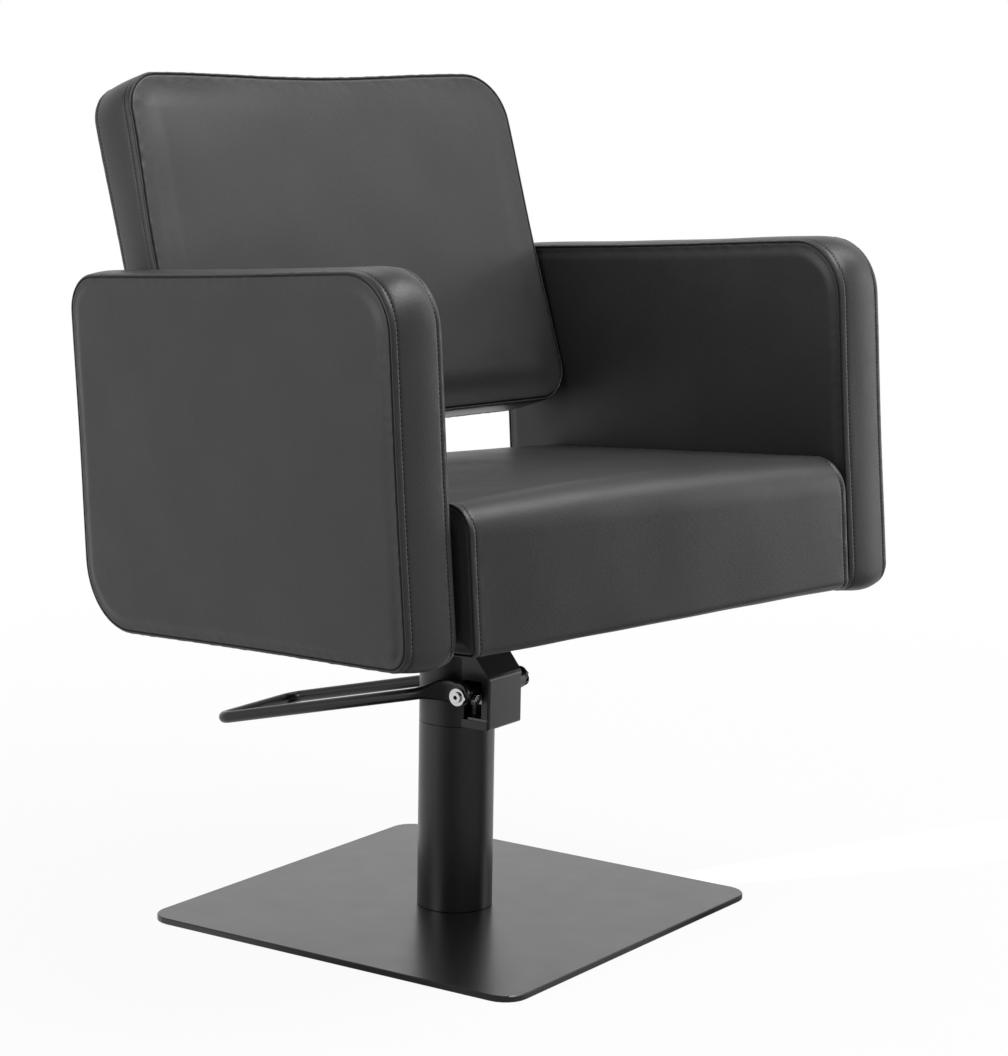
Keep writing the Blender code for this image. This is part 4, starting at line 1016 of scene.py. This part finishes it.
def window_ledge(side, sign):
    """The steel strip that lies on the sill of a window in the lever cover."""
    shape = bmesh.new()
    size = (COVER_SHEET + LEDGE_INSIDE, LEDGE_LENGTH, LEDGE_THICKNESS)
    bmesh.ops.create_cube(shape, size=1.0, matrix=Matrix.Diagonal((*size, 1.0)))
    bmesh.ops.bevel(shape, geom=shape.edges[:], offset=LEDGE_EDGE, segments=LEDGE_STEPS, profile=RIM_PROFILE,
                    affect="EDGES")
    made = shape_object(f"window_ledge_{side}", shape, [LOOKS["oiled_steel"]])
    made.modifiers.new("flat_faces", "WEIGHTED_NORMAL")
    across = sign * (COVER_HALF_WIDTH - size[0] / 2 + LEDGE_PROUD)
    forward = COVER_FRONT - COVER_SHEET - LEDGE_LENGTH / 2
    level = COVER_BOTTOM + WINDOW_SILL + LEDGE_THICKNESS / 2
    made.matrix_world = BASE @ Matrix.Translation((across, -forward, level))
    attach(made, "base")


def plunger_spring():
    """A copy of the plunger's spring, with a mesh of its own and the oiled steel finish."""
    mesh = frame["nodes"]["plunger_spring"].data.copy()
    mesh.name = "plunger_spring_wound"
    mesh.materials.clear()
    mesh.materials.append(LOOKS["oiled_steel"])
    made = add_object("plunger_spring_wound", mesh)
    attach(made, "base")
    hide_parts("plunger_spring")
    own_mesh(made)


pedal_bar()
lever_cover()
for side, sign in SIDES.items():
    shaft_screw(side, sign)
    window_ledge(side, sign)
for node in ("column_tube", "pump_sleeve"):
    edged_copy(node, f"{node}_smooth", "base", ((TUBE_RIM, every_edge),),
               [LOOKS["powder_black"]])
edged_copy("clamp_screw", "clamp_screw_polished", "pedal", ((SCREW_RIM, every_edge),),
           [LOOKS["chrome"]])
plunger_spring()


# Finishes of the rigid pieces

for row in frame["record"]["subparts"]:
    piece = frame["nodes"][row["node"]]
    look = SPECIAL_LOOKS.get(row["node"], row["material_slot"])
    piece.data.materials.clear()
    piece.data.materials.append(LOOKS[look])


# Studio

def wall_level(nodes, spot):
    """Brightness of the studio in the compass direction of a spot."""
    axes = nodes.add("ShaderNodeSeparateXYZ", {"Vector": spot}).outputs
    turn = nodes.ramp(nodes.math("ARCTAN2", axes["Y"], axes["X"]), -pi, pi, 0.0, 1.0)
    ramp = nodes.add("ShaderNodeValToRGB", {"Fac": turn})
    stops = ramp.color_ramp.elements
    while len(stops) < len(WALL_LEVELS):
        stops.new(0.5)
    for stop, (angle, level) in zip(stops, WALL_LEVELS.items()):
        stop.position = 0.5 + angle / 360
        stop.color = grey(level)
    return ramp.outputs["Color"]


def studio_floor():
    """White floor that keeps the chair's shadow; reflections show it as bright as the wall behind it."""
    mesh = bpy.data.meshes.new("studio_floor")
    corners = [(x * FLOOR_REACH, y * FLOOR_REACH, 0) for x, y in ((-1, -1), (1, -1), (1, 1), (-1, 1))]
    mesh.from_pydata(corners, [], [(0, 1, 2, 3)])
    floor = add_object("studio_floor", mesh)
    floor.location.z = -FLOOR_DROP
    shader = Shader("floor_look")
    shader.set(Base_Color=grey(0.86), Roughness=0.9, Specular_IOR_Level=0.1)
    rays = shader.add("ShaderNodeLightPath").outputs
    mirrored = shader.math("MAXIMUM", rays["Is Glossy Ray"], rays["Is Transmission Ray"])
    spot = shader.place()
    away = shader.add("ShaderNodeVectorMath", {0: spot}, operation="LENGTH").outputs["Value"]
    whiteness = shader.ramp(away, FLOOR_NEAR, FLOOR_FAR, FLOOR_NEAR_WHITE, 1.0)
    shown = shader.math("MULTIPLY", rays["Is Camera Ray"], whiteness)
    share = shader.math("MAXIMUM", shown, mirrored)
    level = shader.math("MAXIMUM", rays["Is Camera Ray"], wall_level(shader, spot))
    white = shader.add("ShaderNodeEmission", {"Color": grey(1.0), "Strength": level}).outputs["Emission"]
    mixed = shader.add("ShaderNodeMixShader", {0: share, 1: shader.surface.outputs["BSDF"], 2: white})
    output = shader.tree.nodes["Material Output"]
    shader.tree.links.new(mixed.outputs["Shader"], output.inputs["Surface"])
    mesh.materials.append(shader.material)


def world():
    """White backdrop for the camera, unlike walls for reflections and soft grey light for the rest."""
    made = bpy.data.worlds.new("studio")
    bpy.context.scene.world = made
    made.use_nodes = True
    nodes = Nodes(made.node_tree)
    rays = nodes.add("ShaderNodeLightPath").outputs
    mirrored = nodes.math("MAXIMUM", rays["Is Glossy Ray"], rays["Is Transmission Ray"])
    direction = nodes.add("ShaderNodeTexCoord").outputs["Generated"]
    rise = nodes.add("ShaderNodeSeparateXYZ", {"Vector": direction}).outputs["Z"]
    up = nodes.ramp(rise, CEILING_START, CEILING_FULL, 0.0, 1.0)
    studio = nodes.blend(up, wall_level(nodes, direction), grey(CEILING_LEVEL))
    ambient = nodes.math("MULTIPLY", studio, AMBIENT)
    level = nodes.math("MAXIMUM", ambient, nodes.math("MULTIPLY", mirrored, studio))
    level = nodes.math("MAXIMUM", level, rays["Is Camera Ray"])
    background = made.node_tree.nodes["Background"]
    background.inputs["Color"].default_value = grey(1.0)
    nodes.put(background.inputs["Strength"], level)


def softbox(name, place, target, width, height, power):
    light = bpy.data.lights.new(name, "AREA")
    light.shape = "RECTANGLE"
    light.size = width
    light.size_y = height
    light.energy = power
    made = add_object(name, light)
    made.location = place
    made.rotation_euler = (Vector(target) - Vector(place)).to_track_quat("-Z", "Y").to_euler()
    made.visible_camera = False


def camera():
    level = cos(VIEW_PITCH)
    back = Vector((sin(VIEW_AZIMUTH) * level, -cos(VIEW_AZIMUTH) * level, sin(VIEW_PITCH)))
    right = Vector((0, 0, 1)).cross(back).normalized()
    up = back.cross(right)
    axes = (right * cos(VIEW_ROLL) + up * sin(VIEW_ROLL), up * cos(VIEW_ROLL) - right * sin(VIEW_ROLL), back)
    place = -sum((axis * offset for axis, offset in zip(axes, VIEW_OFFSET)), Vector())
    data = bpy.data.cameras.new("photo_camera")
    data.lens = VIEW_LENS
    data.sensor_width = VIEW_SENSOR
    made = add_object("photo_camera", data)
    matrix = Matrix(axes).transposed().to_4x4()
    matrix.translation = place
    made.matrix_world = matrix
    bpy.context.scene.camera = made


studio_floor()
world()
for name, box in SOFTBOXES.items():
    softbox(name, *box)
camera()
bpy.context.scene.view_settings.view_transform = "Standard"
